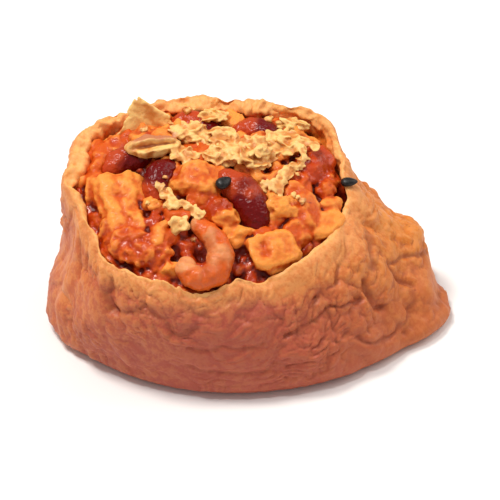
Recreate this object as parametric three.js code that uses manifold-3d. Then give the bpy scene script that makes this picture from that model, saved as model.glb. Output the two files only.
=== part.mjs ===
// One open inari sushi: a pouch of braised fried tofu that stands with its mouth open, filled
// with a heap of food in sauce, and topped with red beans, crisp flakes and sesame seeds.
//
// Millimetres, +Z up. The origin is the middle of the flat base. +X runs along the pouch from its
// left corner to its right one, and -Y is the front, where the rim is lowest.

import * as THREE from "three";
import { mergeVertices } from "three/addons/utils/BufferGeometryUtils.js";
import Module from "manifold-3d";

const wasm = await Module();
wasm.setup();

const TURN = 2 * Math.PI;
const DEGREE = Math.PI / 180;

// ---- Driving sizes ----

const BASE_HALF_LENGTH = 33.0;
const BASE_HALF_WIDTH = 25.5;
const MOUTH_HALF_LENGTH = 25.2;
const MOUTH_HALF_WIDTH = 20.6;
const MOUTH_MIDDLE = { x: -6.4, y: -0.6, z: 26.4 };
// How steeply the plane of the mouth climbs along X and Y: it faces the front and the right.
const MOUTH_SLOPE = { x: -0.07, y: 0.3 };
const WALL = 2.0;
// The inner face follows the outer one where it shows, this far below the rim and up. Further down
// it is smooth, and the wall that much thicker.
const INSIDE_SHOWN = { from: 9, to: 2 };
const HIDDEN_WALL_EXTRA = 0.5;
// How far the edges of the rim are rounded inwards and down.
const LIP_ROUND = 0.45;
const LIP_DROP = 0.4;
const FLOOR = 2.6;
const FOOT_ROUND = 3.0;
const BELLY = 1.5;
// The outline moves from the base's to the mouth's by this power of the height.
const LEAN_POWER = 1.3;

// Where the rim leaves its ellipse and its plane: degrees round the mouth, the spread of the
// change in degrees, and the millimetres outwards and upwards.
const RIM_CHANGES = [
  { angle: 1, spread: 9, out: 0.8, up: -0.7 },
  { angle: 42, spread: 26, out: 1.8, up: 0.9 },
  { angle: 162, spread: 14, out: 0, up: 1.3 },
  { angle: 198, spread: 13, out: -2.1, up: 0 },
  { angle: 246, spread: 9, out: -0.4, up: 0.8 },
  { angle: 284, spread: 8, out: -0.6, up: 0.9 },
  { angle: 318, spread: 17, out: -1.5, up: 0.8 },
];
const RIM_WAVES = [
  { height: 0.25, perTurn: 8, phase: 0.5 },
  { height: 0.2, perTurn: 13, phase: 0 },
];
// The flank between the mouth and the right ear is flatter than the rest.
const FLAT_FLANK = { angle: 20, spread: 34, in: 2.6 };

// Where the side stands out, or in where the reach is below 0: the middle and spread of the place
// in degrees, how far it stands out, and the middle and spread of its height. First come the ears,
// which are the bottom corners of the flat pocket, then a shoulder above the right one.
const BULGES = [
  { angle: -11, spread: 14, reach: 4.2, height: 0, tall: 7 },
  { angle: 187, spread: 16, reach: 2.6, height: 0, tall: 7 },
  { angle: 9, spread: 14, reach: 3.6, height: 12, tall: 4 },
  { angle: 21, spread: 30, reach: -1.5, height: 22.5, tall: 5.3 },
  { angle: 181, spread: 28, reach: -1.4, height: 20, tall: 8 },
  { angle: 180, spread: 33, reach: 1.3, height: 8, tall: 4 },
];

// The skin's relief, in millimetres: slow swells all round, pleats gathered below the rim on the
// left, soft level creases along the front, and puffy crumples on the right and at the back.
const SWELLS = { depth: 0.9, width: 17, height: 13 };
const GATHERS = { depth: 0.5, angle: 187, spread: 32, perTurn: 17, from: 6, to: 20 };
const CREASES = { depth: 0.5, angle: 262, spread: 42, width: 11, height: 4.6 };
const PUFFS = { depth: 2.4, width: 7.5, level: 0.25 };
// The relief fades out towards the flat base over this height.
const SMOOTH_FOOT = 6;

// How far below the rim the food meets the wall, how much lower that is for each millimetre
// towards the back, and how far the heap rises above it in the middle.
const HEAP_BELOW_RIM = 1.2;
const HEAP_BACK_DROP = 0.06;
const HEAP_RISE = 4.4;
const HEAP_ROUNDNESS = 0.8;
// The core lies this far below the tops of the pieces that cover it, less at the wall.
const CORE_DEPTH = 2.4;
const CORE_EDGE_DEPTH = 1.4;
const CORE_BUMPS = { height: 0.6, width: 4 };
// The clearance between the nodes, and a little more between the pouch and the core.
const GAP = 0.35;
const CORE_GAP = 0.5;
// Corners that a join leaves closer together than this are one.
const WELD = 0.004;

// How finely the surfaces are divided: round them, up the outside and down the inside. The rings
// on the flat faces and on top of the core are at these shares of the way out.
const COLUMNS = 76;
const WALL_ROWS = 12;
const INSIDE_ROWS = 6;
const BASE_RING_SHARE = 0.5;
const FLOOR_RING_SHARE = 0.86;
const CORE_COLUMNS = 44;
const CORE_SIDE_ROWS = 3;
const CORE_TOP_SHARES = [0.82, 0.6, 0.38, 0.16];

// ---- Repeatable random numbers and smooth noise ----

function makeDraw(seed) {
  let state = seed >>> 0;
  return () => {
    state = (Math.imul(state, 1664525) + 1013904223) >>> 0;
    return state / 4294967296;
  };
}

// A value from -1 to 1 for each point with whole-number coordinates.
function latticeValue(i, j, k) {
  let mixed = Math.imul(i, 374761393) + Math.imul(j, 668265263) + Math.imul(k, 1442695041);
  mixed = Math.imul(mixed ^ (mixed >>> 13), 1274126177);
  return ((mixed ^ (mixed >>> 16)) >>> 0) / 2147483648 - 1;
}

// Smooth noise from -1 to 1, which changes over about one unit.
function noise(x, y, z) {
  const whole = [x, y, z].map(Math.floor);
  const [u, v, w] = [x, y, z].map((value, axis) => {
    const part = value - whole[axis];
    return part * part * part * (part * (part * 6 - 15) + 10);
  });
  let sum = 0;
  for (let corner = 0; corner < 8; corner++) {
    const [a, b, c] = [corner & 1, (corner >> 1) & 1, corner >> 2];
    const share = (a ? u : 1 - u) * (b ? v : 1 - v) * (c ? w : 1 - w);
    sum += share * latticeValue(whole[0] + a, whole[1] + b, whole[2] + c);
  }
  return sum;
}

// 1 at the middle and falling to nothing over about twice the spread, both of them in degrees.
function near(angle, middle, spread) {
  const offset = angle - middle * DEGREE;
  const apart = Math.atan2(Math.sin(offset), Math.cos(offset));
  return Math.exp(-((apart / (spread * DEGREE)) ** 2));
}

function smoothStep(low, high, value) {
  const part = Math.min(1, Math.max(0, (value - low) / (high - low)));
  return part * part * (3 - 2 * part);
}

// ---- The pouch's shape ----

function ellipseRadius(angle, halfLength, halfWidth) {
  return 1 / Math.hypot(Math.cos(angle) / halfLength, Math.sin(angle) / halfWidth);
}

function rimChange(angle, direction) {
  return RIM_CHANGES.reduce(
    (sum, change) => sum + change[direction] * near(angle, change.angle, change.spread),
    0,
  );
}

function mouthRadius(angle) {
  return ellipseRadius(angle, MOUTH_HALF_LENGTH, MOUTH_HALF_WIDTH) + rimChange(angle, "out");
}

function mouthPlane(x, y) {
  const { x: slopeX, y: slopeY } = MOUTH_SLOPE;
  return MOUTH_MIDDLE.z + slopeX * (x - MOUTH_MIDDLE.x) + slopeY * (y - MOUTH_MIDDLE.y);
}

function rimHeight(angle) {
  const radius = mouthRadius(angle);
  const x = MOUTH_MIDDLE.x + radius * Math.cos(angle);
  const y = MOUTH_MIDDLE.y + radius * Math.sin(angle);
  const waves = RIM_WAVES.reduce(
    (sum, { height, perTurn, phase }) => sum + height * Math.sin(perTurn * angle + phase),
    0,
  );
  return mouthPlane(x, y) + rimChange(angle, "up") + waves;
}

function skinNoise({ width, height = width }, x, y, z) {
  return noise(x / width, y / width, z / height);
}

// How far the skin stands out.
function skinRelief(angle, x, y, z) {
  const gathered =
    near(angle, GATHERS.angle, GATHERS.spread) * smoothStep(GATHERS.from, GATHERS.to, z);
  const front = near(angle, CREASES.angle, CREASES.spread);
  const crumpled = 1 - Math.max(front, gathered);
  const relief =
    SWELLS.depth * skinNoise(SWELLS, x, y, z) +
    GATHERS.depth * gathered * Math.sin(GATHERS.perTurn * angle) +
    CREASES.depth * front * skinNoise(CREASES, x, y, z) +
    PUFFS.depth * crumpled * (Math.abs(skinNoise(PUFFS, x, y, z)) - PUFFS.level);
  return relief * smoothStep(0, SMOOTH_FOOT, z);
}

// A point of the pouch's side at a height z, moved inwards by inset. The share of the relief is
// less than 1 on hidden faces.
function sidePoint(angle, z, inset, reliefShare = 1) {
  const rise = Math.min(1, z / rimHeight(angle));
  const lean = rise ** LEAN_POWER;
  let radius = ellipseRadius(angle, BASE_HALF_LENGTH, BASE_HALF_WIDTH) * (1 - lean);
  const belly = BELLY - FLAT_FLANK.in * near(angle, FLAT_FLANK.angle, FLAT_FLANK.spread);
  radius += mouthRadius(angle) * lean + belly * Math.sin(Math.PI * rise);
  for (const { angle: middle, spread, reach, height, tall } of BULGES)
    radius += reach * near(angle, middle, spread) * Math.exp(-(((z - height) / tall) ** 2));
  if (z < FOOT_ROUND)
    radius -= FOOT_ROUND - Math.sqrt(FOOT_ROUND ** 2 - (FOOT_ROUND - z) ** 2);
  const centre = { x: MOUTH_MIDDLE.x * lean, y: MOUTH_MIDDLE.y * lean };
  const x = centre.x + radius * Math.cos(angle);
  const y = centre.y + radius * Math.sin(angle);
  const moved = reliefShare * skinRelief(angle, x, y, z) - inset;
  return new THREE.Vector3(x + moved * Math.cos(angle), y + moved * Math.sin(angle), z);
}

// The level distance that gives the wall its thickness where it leans.
function levelWall(angle, z, thickness) {
  const step = 1;
  const low = sidePoint(angle, Math.max(FOOT_ROUND, z - step), 0, 0);
  const high = sidePoint(angle, Math.max(FOOT_ROUND, z - step) + step, 0, 0);
  const lean = (high.x - low.x) * Math.cos(angle) + (high.y - low.y) * Math.sin(angle);
  return thickness * Math.hypot(1, lean / step);
}

function ring(columns, pointAt) {
  return Array.from({ length: columns }, (_, i) => pointAt((i / columns) * TURN));
}

function middleOf(points) {
  return points.reduce((sum, p) => sum.add(p), new THREE.Vector3()).divideScalar(points.length);
}

// A closed surface through rings of points, from the first ring's middle to the last ring's.
function closedRings(rings) {
  const columns = rings[0].length;
  const points = [middleOf(rings[0]), ...rings.flat(), middleOf(rings.at(-1))];
  const at = (row, column) => 1 + row * columns + (column % columns);
  const faces = [];
  for (let column = 0; column < columns; column++) {
    faces.push(0, at(0, column + 1), at(0, column));
    for (let row = 0; row + 1 < rings.length; row++) {
      const [a, b] = [at(row, column), at(row, column + 1)];
      const [c, d] = [at(row + 1, column + 1), at(row + 1, column)];
      faces.push(a, b, c, a, c, d);
    }
    faces.push(at(rings.length - 1, column), at(rings.length - 1, column + 1), points.length - 1);
  }
  const geometry = new THREE.BufferGeometry().setFromPoints(points);
  geometry.setIndex(faces);
  return geometry;
}

function innerPoint(angle, z, thickness) {
  const top = rimHeight(angle);
  const shown = smoothStep(top - INSIDE_SHOWN.from, top - INSIDE_SHOWN.to, z);
  const inset = levelWall(angle, z, thickness) + HIDDEN_WALL_EXTRA * (1 - shown);
  return sidePoint(angle, z, inset, shown);
}

// The pouch, or with grow the space that it and a gap round it take up.
function pouchRings(columns, grow = 0) {
  const rings = [];
  const sideRing = (heightAt, insetAt) =>
    rings.push(ring(columns, (angle) => sidePoint(angle, heightAt(angle), insetAt(angle))));
  const flatRing = (share, z, inset) =>
    rings.push(
      ring(columns, (angle) => {
        const edge = sidePoint(angle, 0, inset);
        return new THREE.Vector3(edge.x * share, edge.y * share, z);
      }),
    );
  flatRing(BASE_RING_SHARE, -grow, -grow);
  flatRing(1, -grow, -grow);
  for (const turn of [30, 60])
    sideRing(() => FOOT_ROUND * (1 - Math.cos(turn * DEGREE)), () => -grow);
  for (let row = 0; row <= WALL_ROWS; row++) {
    const share = row / WALL_ROWS;
    const lipInset = row === WALL_ROWS ? LIP_ROUND : 0;
    sideRing(
      (angle) => FOOT_ROUND + (rimHeight(angle) - LIP_DROP - FOOT_ROUND + grow) * share,
      () => lipInset - grow,
    );
  }
  rings.push(
    ring(columns, (angle) => {
      const top = rimHeight(angle);
      const point = sidePoint(angle, top, levelWall(angle, top, WALL) * 0.5);
      return point.setZ(top + grow);
    }),
  );
  const low = FLOOR + FOOT_ROUND;
  for (let row = 0; row <= INSIDE_ROWS; row++)
    rings.push(
      ring(columns, (angle) => {
        const high = rimHeight(angle) - LIP_DROP + grow;
        const z = high - (high - low) * (row / INSIDE_ROWS);
        return innerPoint(angle, z, WALL + grow - (row === 0 ? LIP_ROUND : 0));
      }),
    );
  flatRing(FLOOR_RING_SHARE, FLOOR + grow, WALL + grow);
  return rings;
}

// ---- The heap's shape ----

function heapTop(x, y) {
  const [alongX, alongY] = [x - MOUTH_MIDDLE.x, y - MOUTH_MIDDLE.y];
  const angle = Math.atan2(alongY, alongX);
  const reach = Math.min(1, Math.hypot(alongX, alongY) / (mouthRadius(angle) - WALL));
  const dome = HEAP_RISE * (1 - reach * reach) ** HEAP_ROUNDNESS;
  return mouthPlane(x, y) - HEAP_BELOW_RIM - HEAP_BACK_DROP * alongY + dome;
}

function heapNormal(x, y) {
  const step = 1.5;
  const slopeX = (heapTop(x + step, y) - heapTop(x - step, y)) / (2 * step);
  const slopeY = (heapTop(x, y + step) - heapTop(x, y - step)) / (2 * step);
  return new THREE.Vector3(-slopeX, -slopeY, 1).normalize();
}

// The core fills the pouch up to a bumpy surface below the tops of the pieces.
function coreRings(columns) {
  const onHeap = (angle, share, depth) => {
    const radius = (mouthRadius(angle) - WALL - CORE_GAP) * share;
    const x = MOUTH_MIDDLE.x + radius * Math.cos(angle);
    const y = MOUTH_MIDDLE.y + radius * Math.sin(angle);
    const bumps = CORE_BUMPS.height * noise(x / CORE_BUMPS.width, y / CORE_BUMPS.width, 0);
    return new THREE.Vector3(x, y, heapTop(x, y) - depth + bumps);
  };
  const rings = [
    ring(columns, (angle) => {
      const edge = sidePoint(angle, 0, WALL + CORE_GAP);
      return edge.multiplyScalar(FLOOR_RING_SHARE).setZ(FLOOR + CORE_GAP);
    }),
  ];
  const start = FLOOR + FOOT_ROUND;
  for (let row = 0; row <= CORE_SIDE_ROWS; row++)
    rings.push(
      ring(columns, (angle) => {
        const brim = onHeap(angle, 1, CORE_EDGE_DEPTH).z;
        const z = start + (brim - start) * (row / CORE_SIDE_ROWS);
        return innerPoint(angle, z, WALL + CORE_GAP);
      }),
    );
  for (const share of CORE_TOP_SHARES)
    rings.push(ring(columns, (angle) => onHeap(angle, share, CORE_DEPTH)));
  return rings;
}

// ---- Pieces of food ----

// Every piece is a unit shape that is scaled, turned to lie on the heap and moved to its place.
function seatMatrix({ x, y, turn = 0, tip = 0, roll = 0, lift = 0, size }) {
  const normal = heapNormal(x, y);
  const lie = new THREE.Quaternion().setFromUnitVectors(new THREE.Vector3(0, 0, 1), normal);
  const own = new THREE.Quaternion().setFromEuler(
    new THREE.Euler(roll * DEGREE, tip * DEGREE, turn * DEGREE, "ZYX"),
  );
  const place = new THREE.Vector3(x, y, heapTop(x, y)).addScaledVector(normal, lift);
  return new THREE.Matrix4().compose(
    place,
    lie.multiply(own),
    new THREE.Vector3(...size).multiplyScalar(0.5),
  );
}

function reshape(geometry, move) {
  geometry.deleteAttribute("normal");
  geometry.deleteAttribute("uv");
  const merged = mergeVertices(geometry, 1e-4);
  const spot = merged.getAttribute("position");
  for (let i = 0; i < spot.count; i++) {
    const point = new THREE.Vector3().fromBufferAttribute(spot, i);
    move(point);
    spot.setXYZ(i, point.x, point.y, point.z);
  }
  return merged;
}

// A rounded lump: boxiness squares it up, and bumps makes it uneven, each seed in its own way.
function lump(detail, boxiness, bumps, seed) {
  return reshape(new THREE.IcosahedronGeometry(1, detail), (p) => {
    const power = 1 - boxiness;
    const square = new THREE.Vector3(
      Math.sign(p.x) * Math.abs(p.x) ** power,
      Math.sign(p.y) * Math.abs(p.y) ** power,
      Math.sign(p.z) * Math.abs(p.z) ** power,
    );
    const uneven = 1 + bumps * noise(1.7 * p.x + 3.1 * seed, 1.7 * p.y, 1.7 * p.z);
    p.copy(square.multiplyScalar(uneven));
  });
}

// A round-ended rod, bent into an arc that spans the angle sweep in the XY plane.
function bentRod(sweep, thickness, sides, steps) {
  const radius = 1 - thickness;
  const rings = [];
  for (let step = 0; step <= steps; step++) {
    const share = step / steps;
    const angle = (share - 0.5) * sweep;
    const swell = thickness * Math.sqrt(Math.max(0.12, 1 - (2 * share - 1) ** 4));
    rings.push(
      ring(sides, (around) => {
        const out = radius + swell * Math.cos(around);
        return new THREE.Vector3(out * Math.cos(angle), out * Math.sin(angle), swell * Math.sin(around));
      }),
    );
  }
  return closedRings(rings.reverse());
}

// A kidney bean, 2 long: a fat ellipsoid bent sideways.
function kidney() {
  return reshape(new THREE.IcosahedronGeometry(1, 2), (p) => {
    const bend = 0.45 * p.x * p.x;
    const hollow = 0.2 * Math.exp(-((p.x / 0.35) ** 2)) * Math.max(0, p.y);
    p.set(p.x, p.y - bend + 0.2 - hollow, p.z);
  });
}

// A crisp flake: a thin, crumpled plate with an uneven edge.
function flake(sides, seed) {
  return reshape(new THREE.CylinderGeometry(1, 0.85, 2, sides, 1), (p) => {
    const edge = 1 + 0.35 * noise(p.x * 1.3, p.z * 1.3, 2.3 * seed);
    const lift = 0.5 * noise(p.x * 1.1, p.z * 1.1, 2.3 * seed + 1);
    p.set(p.x * edge, p.z * -edge, p.y + lift);
  });
}

// The chosen pieces: the beans, and the larger or oddly shaped pieces of the filling. x and y are
// places on the heap, lift is how far a piece's middle is above it, size is the full length, width
// and height, and the angles are degrees.
const BEANS = [
  { x: 0.2, y: -4.8, turn: -55, tip: 10, lift: -0.6, size: [13.4, 7.0, 6.6] },
  { x: -14.4, y: -0.8, turn: 68, tip: -12, lift: -0.9, size: [9.6, 5.8, 5.4] },
  { x: -20.2, y: 5.2, turn: 14, tip: 8, lift: -1.1, size: [9.4, 5.6, 5.2] },
  { x: -7.6, y: 13.6, turn: -24, tip: 6, lift: -1.0, size: [9.2, 5.6, 5.4] },
  { x: 2.8, y: 12.8, turn: -18, tip: -8, lift: -1.2, size: [8.8, 5.4, 5.0] },
];
const CHUNKS = [
  { x: -21.6, y: -4.4, turn: 97, roll: 12, lift: -1.6, size: [14.0, 8.8, 6.6], boxiness: 0.22 },
  { x: -7.4, y: -1.8, turn: 20, lift: -1.2, size: [10.8, 9.4, 7.4], boxiness: 0.18 },
  { x: -18.2, y: -13.2, turn: -28, lift: -1.5, size: [11.4, 7.2, 5.8], boxiness: 0.1 },
  { x: 4.8, y: -13.0, turn: 24, lift: -1.4, size: [8.4, 7.0, 6.0], boxiness: 0.4 },
  { x: 11.9, y: 4.7, turn: 48, lift: -1.3, size: [9.4, 7.4, 6.0], boxiness: 0.12 },
  { x: -25.4, y: 7.0, turn: 60, lift: -1.5, size: [7.0, 5.4, 5.0], boxiness: 0.2 },
  { x: 10.0, y: -4.2, turn: -40, lift: -1.5, size: [8.4, 5.8, 5.0], boxiness: 0.3 },
  { x: 9.8, y: 11.8, turn: 130, lift: -1.4, size: [8.2, 6.0, 5.2], boxiness: 0.25 },
  { x: 14.0, y: -6.6, turn: 60, lift: -1.6, size: [6.6, 5.0, 4.8], boxiness: 0.3 },
  { x: -26.2, y: 0.4, turn: 80, lift: -1.8, size: [7.0, 5.4, 5.0], boxiness: 0.15 },
  { x: 15.0, y: 1.4, turn: 80, lift: -1.7, size: [6.0, 4.6, 4.6], boxiness: 0.2 },
];
const BUMPS = 0.22;
const CURLS = [
  { x: -7.2, y: -14.4, turn: -50, tip: 10, lift: -0.4, size: [11.4, 12.4, 8.2], sweep: 285, thickness: 0.36 },
  { x: -1.4, y: 8.6, turn: 150, tip: 10, lift: -1.2, size: [7.6, 7.6, 7.0], sweep: 220, thickness: 0.42 },
];

// Pieces of these sizes then fill the rest of the heap, the largest first: how many places to try,
// the full size, the radius kept clear of other pieces, and how round and how finely divided each
// one is.
const SCATTERED = [
  { tries: 900, size: [7.8, 6.2, 5.4], apart: 3.0, detail: 1, boxiness: 0.16, lift: -1.5 },
  { tries: 900, size: [5.4, 4.4, 4.2], apart: 2.1, detail: 0, boxiness: 0.1, lift: -1.2 },
  { tries: 1800, size: [3.8, 3.0, 2.8], apart: 1.15, detail: 0, boxiness: 0, lift: -0.9 },
];
const SCATTER_SEED = 41;
const SIZE_SPREAD = 0.15;
const LARGEST_TIP = 25;
// They reach this far into the wall, which then trims them.
const EDGE_OVERLAP = 0.5;

const FLAKES = [
  { x: -16.4, y: 12.2, turn: 0, tip: -14, roll: -105, lift: 1.7, size: [11.0, 8.4, 0.9], sides: 3 },
  { x: -14.0, y: 6.6, turn: 8, tip: -2, roll: 24, lift: 1.5, size: [11.4, 5.0, 3.2], sides: 7 },
  { x: -8.6, y: 9.8, turn: 30, tip: 10, lift: 1.1, size: [6.4, 5.0, 2.2], sides: 7 },
  { x: -4.2, y: 8.0, turn: 70, roll: -12, lift: 1.0, size: [7.2, 5.6, 2.6], sides: 7 },
  { x: 1.4, y: 5.6, turn: 15, tip: 8, lift: 1.2, size: [7.6, 6.0, 3.0], sides: 7 },
  { x: 6.8, y: 8.4, turn: -20, tip: -14, lift: 1.1, size: [9.4, 4.6, 2.0], sides: 7 },
  { x: 7.3, y: -1.4, turn: 50, roll: 16, lift: 1.5, size: [6.8, 3.0, 1.8], sides: 6 },
  { x: -12.4, y: -5.0, turn: -50, tip: 12, lift: 1.4, size: [6.8, 3.4, 1.6], sides: 6 },
  { x: -11.4, y: -9.8, turn: 10, lift: 0.9, size: [2.8, 2.2, 1.4], sides: 5 },
  { x: -4.8, y: 14.4, turn: 45, tip: 10, lift: 1.0, size: [5.6, 3.8, 1.6], sides: 6 },
  { x: 9.4, y: 13.2, turn: 10, roll: -12, lift: 1.0, size: [5.2, 3.2, 1.6], sides: 6 },
  { x: -3.4, y: 3.6, turn: 10, lift: 1.1, size: [6.4, 4.0, 2.0], sides: 6 },
  { x: -9.8, y: 3.4, turn: -15, lift: 1.0, size: [4.6, 2.8, 1.4], sides: 5 },
];
const HEAP_SEED = { x: -3.2, y: -2.6, turn: 40, lift: 2.7, size: [3.1, 2.2, 1.5] };
const RIM_SEED = { angle: 5, lift: 0.25, size: [3.0, 1.9, 1.4] };

// ---- Solids ----

function solidOf(geometry) {
  const merged = mergeVertices(geometry, 1e-4);
  return new wasm.Manifold(
    new wasm.Mesh({
      numProp: 3,
      vertProperties: new Float32Array(merged.getAttribute("position").array),
      triVerts: new Uint32Array(merged.index.array),
    }),
  );
}

function placed(shape, piece) {
  return solidOf(shape.clone().applyMatrix4(seatMatrix(piece)));
}

// The solid's largest body as a geometry. Loose scraps and sealed hollows are left behind, and so
// are the slivers that collapse when the corners closer than WELD become one.
function geometryOf(solid) {
  const bodies = solid.decompose().sort((a, b) => b.volume() - a.volume());
  const { vertProperties, triVerts, numProp } = bodies[0].getMesh();
  const geometry = new THREE.BufferGeometry();
  geometry.setAttribute("position", new THREE.BufferAttribute(vertProperties, numProp));
  geometry.setIndex(new THREE.BufferAttribute(triVerts, 1));
  const welded = mergeVertices(geometry, WELD);
  const corners = Array.from(welded.index.array);
  const kept = [];
  for (let i = 0; i < corners.length; i += 3) {
    const [a, b, c] = corners.slice(i, i + 3);
    if (a !== b && b !== c && c !== a) kept.push(a, b, c);
  }
  welded.setIndex(kept);
  const flat = welded.toNonIndexed();
  flat.computeVertexNormals();
  return flat;
}

function roomTo(x, y, radius) {
  const [alongX, alongY] = [x - MOUTH_MIDDLE.x, y - MOUTH_MIDDLE.y];
  const angle = Math.atan2(alongY, alongX);
  return mouthRadius(angle) - WALL + EDGE_OVERLAP - radius - Math.hypot(alongX, alongY);
}

// Places drawn at random over the heap, kept where they are clear of what is there already.
function scatterPieces() {
  const draw = makeDraw(SCATTER_SEED);
  const taken = [...BEANS, ...CHUNKS, ...CURLS].map(({ x, y, size }) => ({
    x,
    y,
    radius: (size[0] + size[1]) / 5,
  }));
  const found = [];
  for (const kind of SCATTERED)
    for (let attempt = 0; attempt < kind.tries; attempt++) {
      const [x, y] = [
        MOUTH_MIDDLE.x + (2 * draw() - 1) * MOUTH_HALF_LENGTH,
        MOUTH_MIDDLE.y + (2 * draw() - 1) * MOUTH_HALF_WIDTH,
      ];
      const scale = 1 + SIZE_SPREAD * (2 * draw() - 1);
      const turn = 360 * draw();
      const tip = LARGEST_TIP * (2 * draw() - 1);
      const radius = kind.apart * scale;
      if (roomTo(x, y, (kind.size[1] * scale) / 2) < 0) continue;
      if (taken.some((t) => Math.hypot(t.x - x, t.y - y) < t.radius + radius)) continue;
      taken.push({ x, y, radius });
      found.push({ ...kind, x, y, turn, tip, size: kind.size.map((s) => s * scale) });
    }
  return found;
}

function makeBean(bean, grow = 0) {
  return placed(kidney(), { ...bean, size: bean.size.map((s) => s + 2 * grow) });
}

function makeFilling() {
  const pieces = [
    ...CHUNKS.map((piece, i) => placed(lump(1, piece.boxiness, BUMPS, i), piece)),
    ...CURLS.map((piece) => placed(bentRod(piece.sweep * DEGREE, piece.thickness, 8, 9), piece)),
    ...scatterPieces().map((piece, i) =>
      placed(lump(piece.detail, piece.boxiness, BUMPS, i), piece),
    ),
    ...FLAKES.map((piece, i) => placed(flake(piece.sides, i), piece)),
    placed(lump(0, 0, 0, 0), HEAP_SEED),
  ];
  const core = solidOf(closedRings(coreRings(CORE_COLUMNS)));
  const pouchSpace = solidOf(closedRings(pouchRings(COLUMNS, GAP)));
  const heap = pieces.reduce((sum, piece) => sum.add(piece), core).subtract(pouchSpace);
  return BEANS.reduce((rest, bean) => rest.subtract(makeBean(bean, GAP)), heap);
}

function makePouch() {
  const angle = RIM_SEED.angle * DEGREE;
  const top = rimHeight(angle);
  const spot = sidePoint(angle, top, WALL / 2);
  const seed = lump(0, 0, 0, 0);
  seed.scale(...RIM_SEED.size.map((s) => s / 2));
  seed.translate(spot.x, spot.y, top + RIM_SEED.lift);
  return solidOf(closedRings(pouchRings(COLUMNS))).add(solidOf(seed));
}

// ---- The object ----

const tofu = new THREE.MeshStandardMaterial({ color: "#c98645", roughness: 0.6, metalness: 0 });
const sauce = new THREE.MeshStandardMaterial({ color: "#dd7a35", roughness: 0.35, metalness: 0 });
const beanSkin = new THREE.MeshStandardMaterial({ color: "#6d1c14", roughness: 0.2, metalness: 0 });

const inari = new THREE.Group();

function addPiece(name, solid, material) {
  const mesh = new THREE.Mesh(geometryOf(solid), material);
  mesh.name = name;
  inari.add(mesh);
}

addPiece("tofu_pouch", makePouch(), tofu);
addPiece("filling", makeFilling(), sauce);
BEANS.forEach((bean, i) => addPiece(`red_bean_${i + 1}`, makeBean(bean), beanSkin));

export default inari;
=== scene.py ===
"""The looks of one open inari sushi: a braised tofu pouch with a heap of sauced food and crisps.

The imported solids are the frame. The pieces here are finely made meshes that stand for them, worked out
from the same sizes. Lengths are millimetres up to the moment a mesh is made, apart from those that can
be set, which Blender holds in metres.
"""

import math

import bmesh
import bpy
import numpy as np
from bpy.props import FloatProperty, FloatVectorProperty, IntProperty, PointerProperty
from mathutils import Matrix, Vector
from mathutils.bvhtree import BVHTree
from mathutils.kdtree import KDTree


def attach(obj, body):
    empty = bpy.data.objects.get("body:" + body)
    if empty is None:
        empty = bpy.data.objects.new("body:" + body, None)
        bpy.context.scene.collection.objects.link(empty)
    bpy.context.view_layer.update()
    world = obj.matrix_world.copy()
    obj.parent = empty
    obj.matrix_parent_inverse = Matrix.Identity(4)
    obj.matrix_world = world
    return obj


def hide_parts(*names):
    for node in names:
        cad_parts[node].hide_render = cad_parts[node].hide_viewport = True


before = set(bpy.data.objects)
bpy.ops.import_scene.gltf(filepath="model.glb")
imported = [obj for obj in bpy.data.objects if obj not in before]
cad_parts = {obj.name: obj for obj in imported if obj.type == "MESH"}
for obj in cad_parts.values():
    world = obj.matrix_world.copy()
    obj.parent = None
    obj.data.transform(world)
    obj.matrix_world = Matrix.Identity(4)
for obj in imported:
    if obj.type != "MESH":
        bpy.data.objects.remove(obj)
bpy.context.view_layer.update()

bl_info = {
    "name": "Inari sushi",
    "version": (1, 0, 0),
    "blender": (4, 5, 0),
    "location": "3D View > Sidebar > Inari",
    "description": "Makes an open inari sushi with its filling, toppings and studio stage",
    "category": "Add Mesh",
}

MM = 0.001
TURN = 2 * math.pi
DEGREE = math.pi / 180
BODY = "root"

# The numbers that the repeatable draw and the noise are made with.
DRAW_FACTOR = 1664525
DRAW_STEP = 1013904223
LATTICE_FACTORS = (374761393, 668265263, 1442695041)
LATTICE_MIXER = 1274126177
SEED_STEP = 17.37

# ---- The pouch's sizes, which the solids have too, in millimetres and degrees ----

BASE_HALF_LENGTH = 33.0
BASE_HALF_WIDTH = 25.5
MOUTH_HALF_LENGTH = 25.2
MOUTH_HALF_WIDTH = 20.6
MOUTH_MIDDLE = (-6.4, -0.6, 26.4)
MOUTH_SLOPE = (-0.07, 0.3)
WALL = 2.0
INSIDE_SHOWN = (9, 2)
HIDDEN_WALL_EXTRA = 0.5
LIP_ROUND = 0.45
LIP_DROP = 0.4
FLOOR = 2.6
FOOT_ROUND = 3.0
BELLY = 1.5
LEAN_POWER = 1.3

# Angle, spread, outwards and upwards.
RIM_CHANGES = [
    (1, 9, 0.8, -0.7),
    (42, 26, 1.8, 0.9),
    (162, 14, 0, 1.3),
    (198, 13, -2.1, 0),
    (246, 9, -0.4, 0.8),
    (284, 8, -0.6, 0.9),
    (318, 17, -1.5, 0.8),
]
# Height, waves in a turn and phase.
RIM_WAVES = [(0.25, 8, 0.5), (0.2, 13, 0)]
FLAT_FLANK = (20, 34, 2.6)
# Angle, spread, reach, height and the spread of the height.
BULGES = [
    (-11, 14, 4.2, 0, 7),
    (187, 16, 2.6, 0, 7),
    (9, 14, 3.6, 12, 4),
    (21, 30, -1.5, 22.5, 5.3),
    (181, 28, -1.4, 20, 8),
    (180, 33, 1.3, 8, 4),
]

# Depth, width and height of the skin's relief.
SWELLS = (0.9, 17, 13)
CREASES = (0.5, 11, 4.6)
PUFFS = (2.4, 7.5, 7.5)
GATHER_DEPTH = 0.5
GATHERS_PER_TURN = 17
GATHER_HEIGHTS = (6, 20)
GATHERED_SIDE = (187, 32)
FRONT_SIDE = (262, 42)
PUFF_LEVEL = 0.25
SMOOTH_FOOT = 6

# ---- The pouch's sizes that only its mesh here has ----

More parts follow.
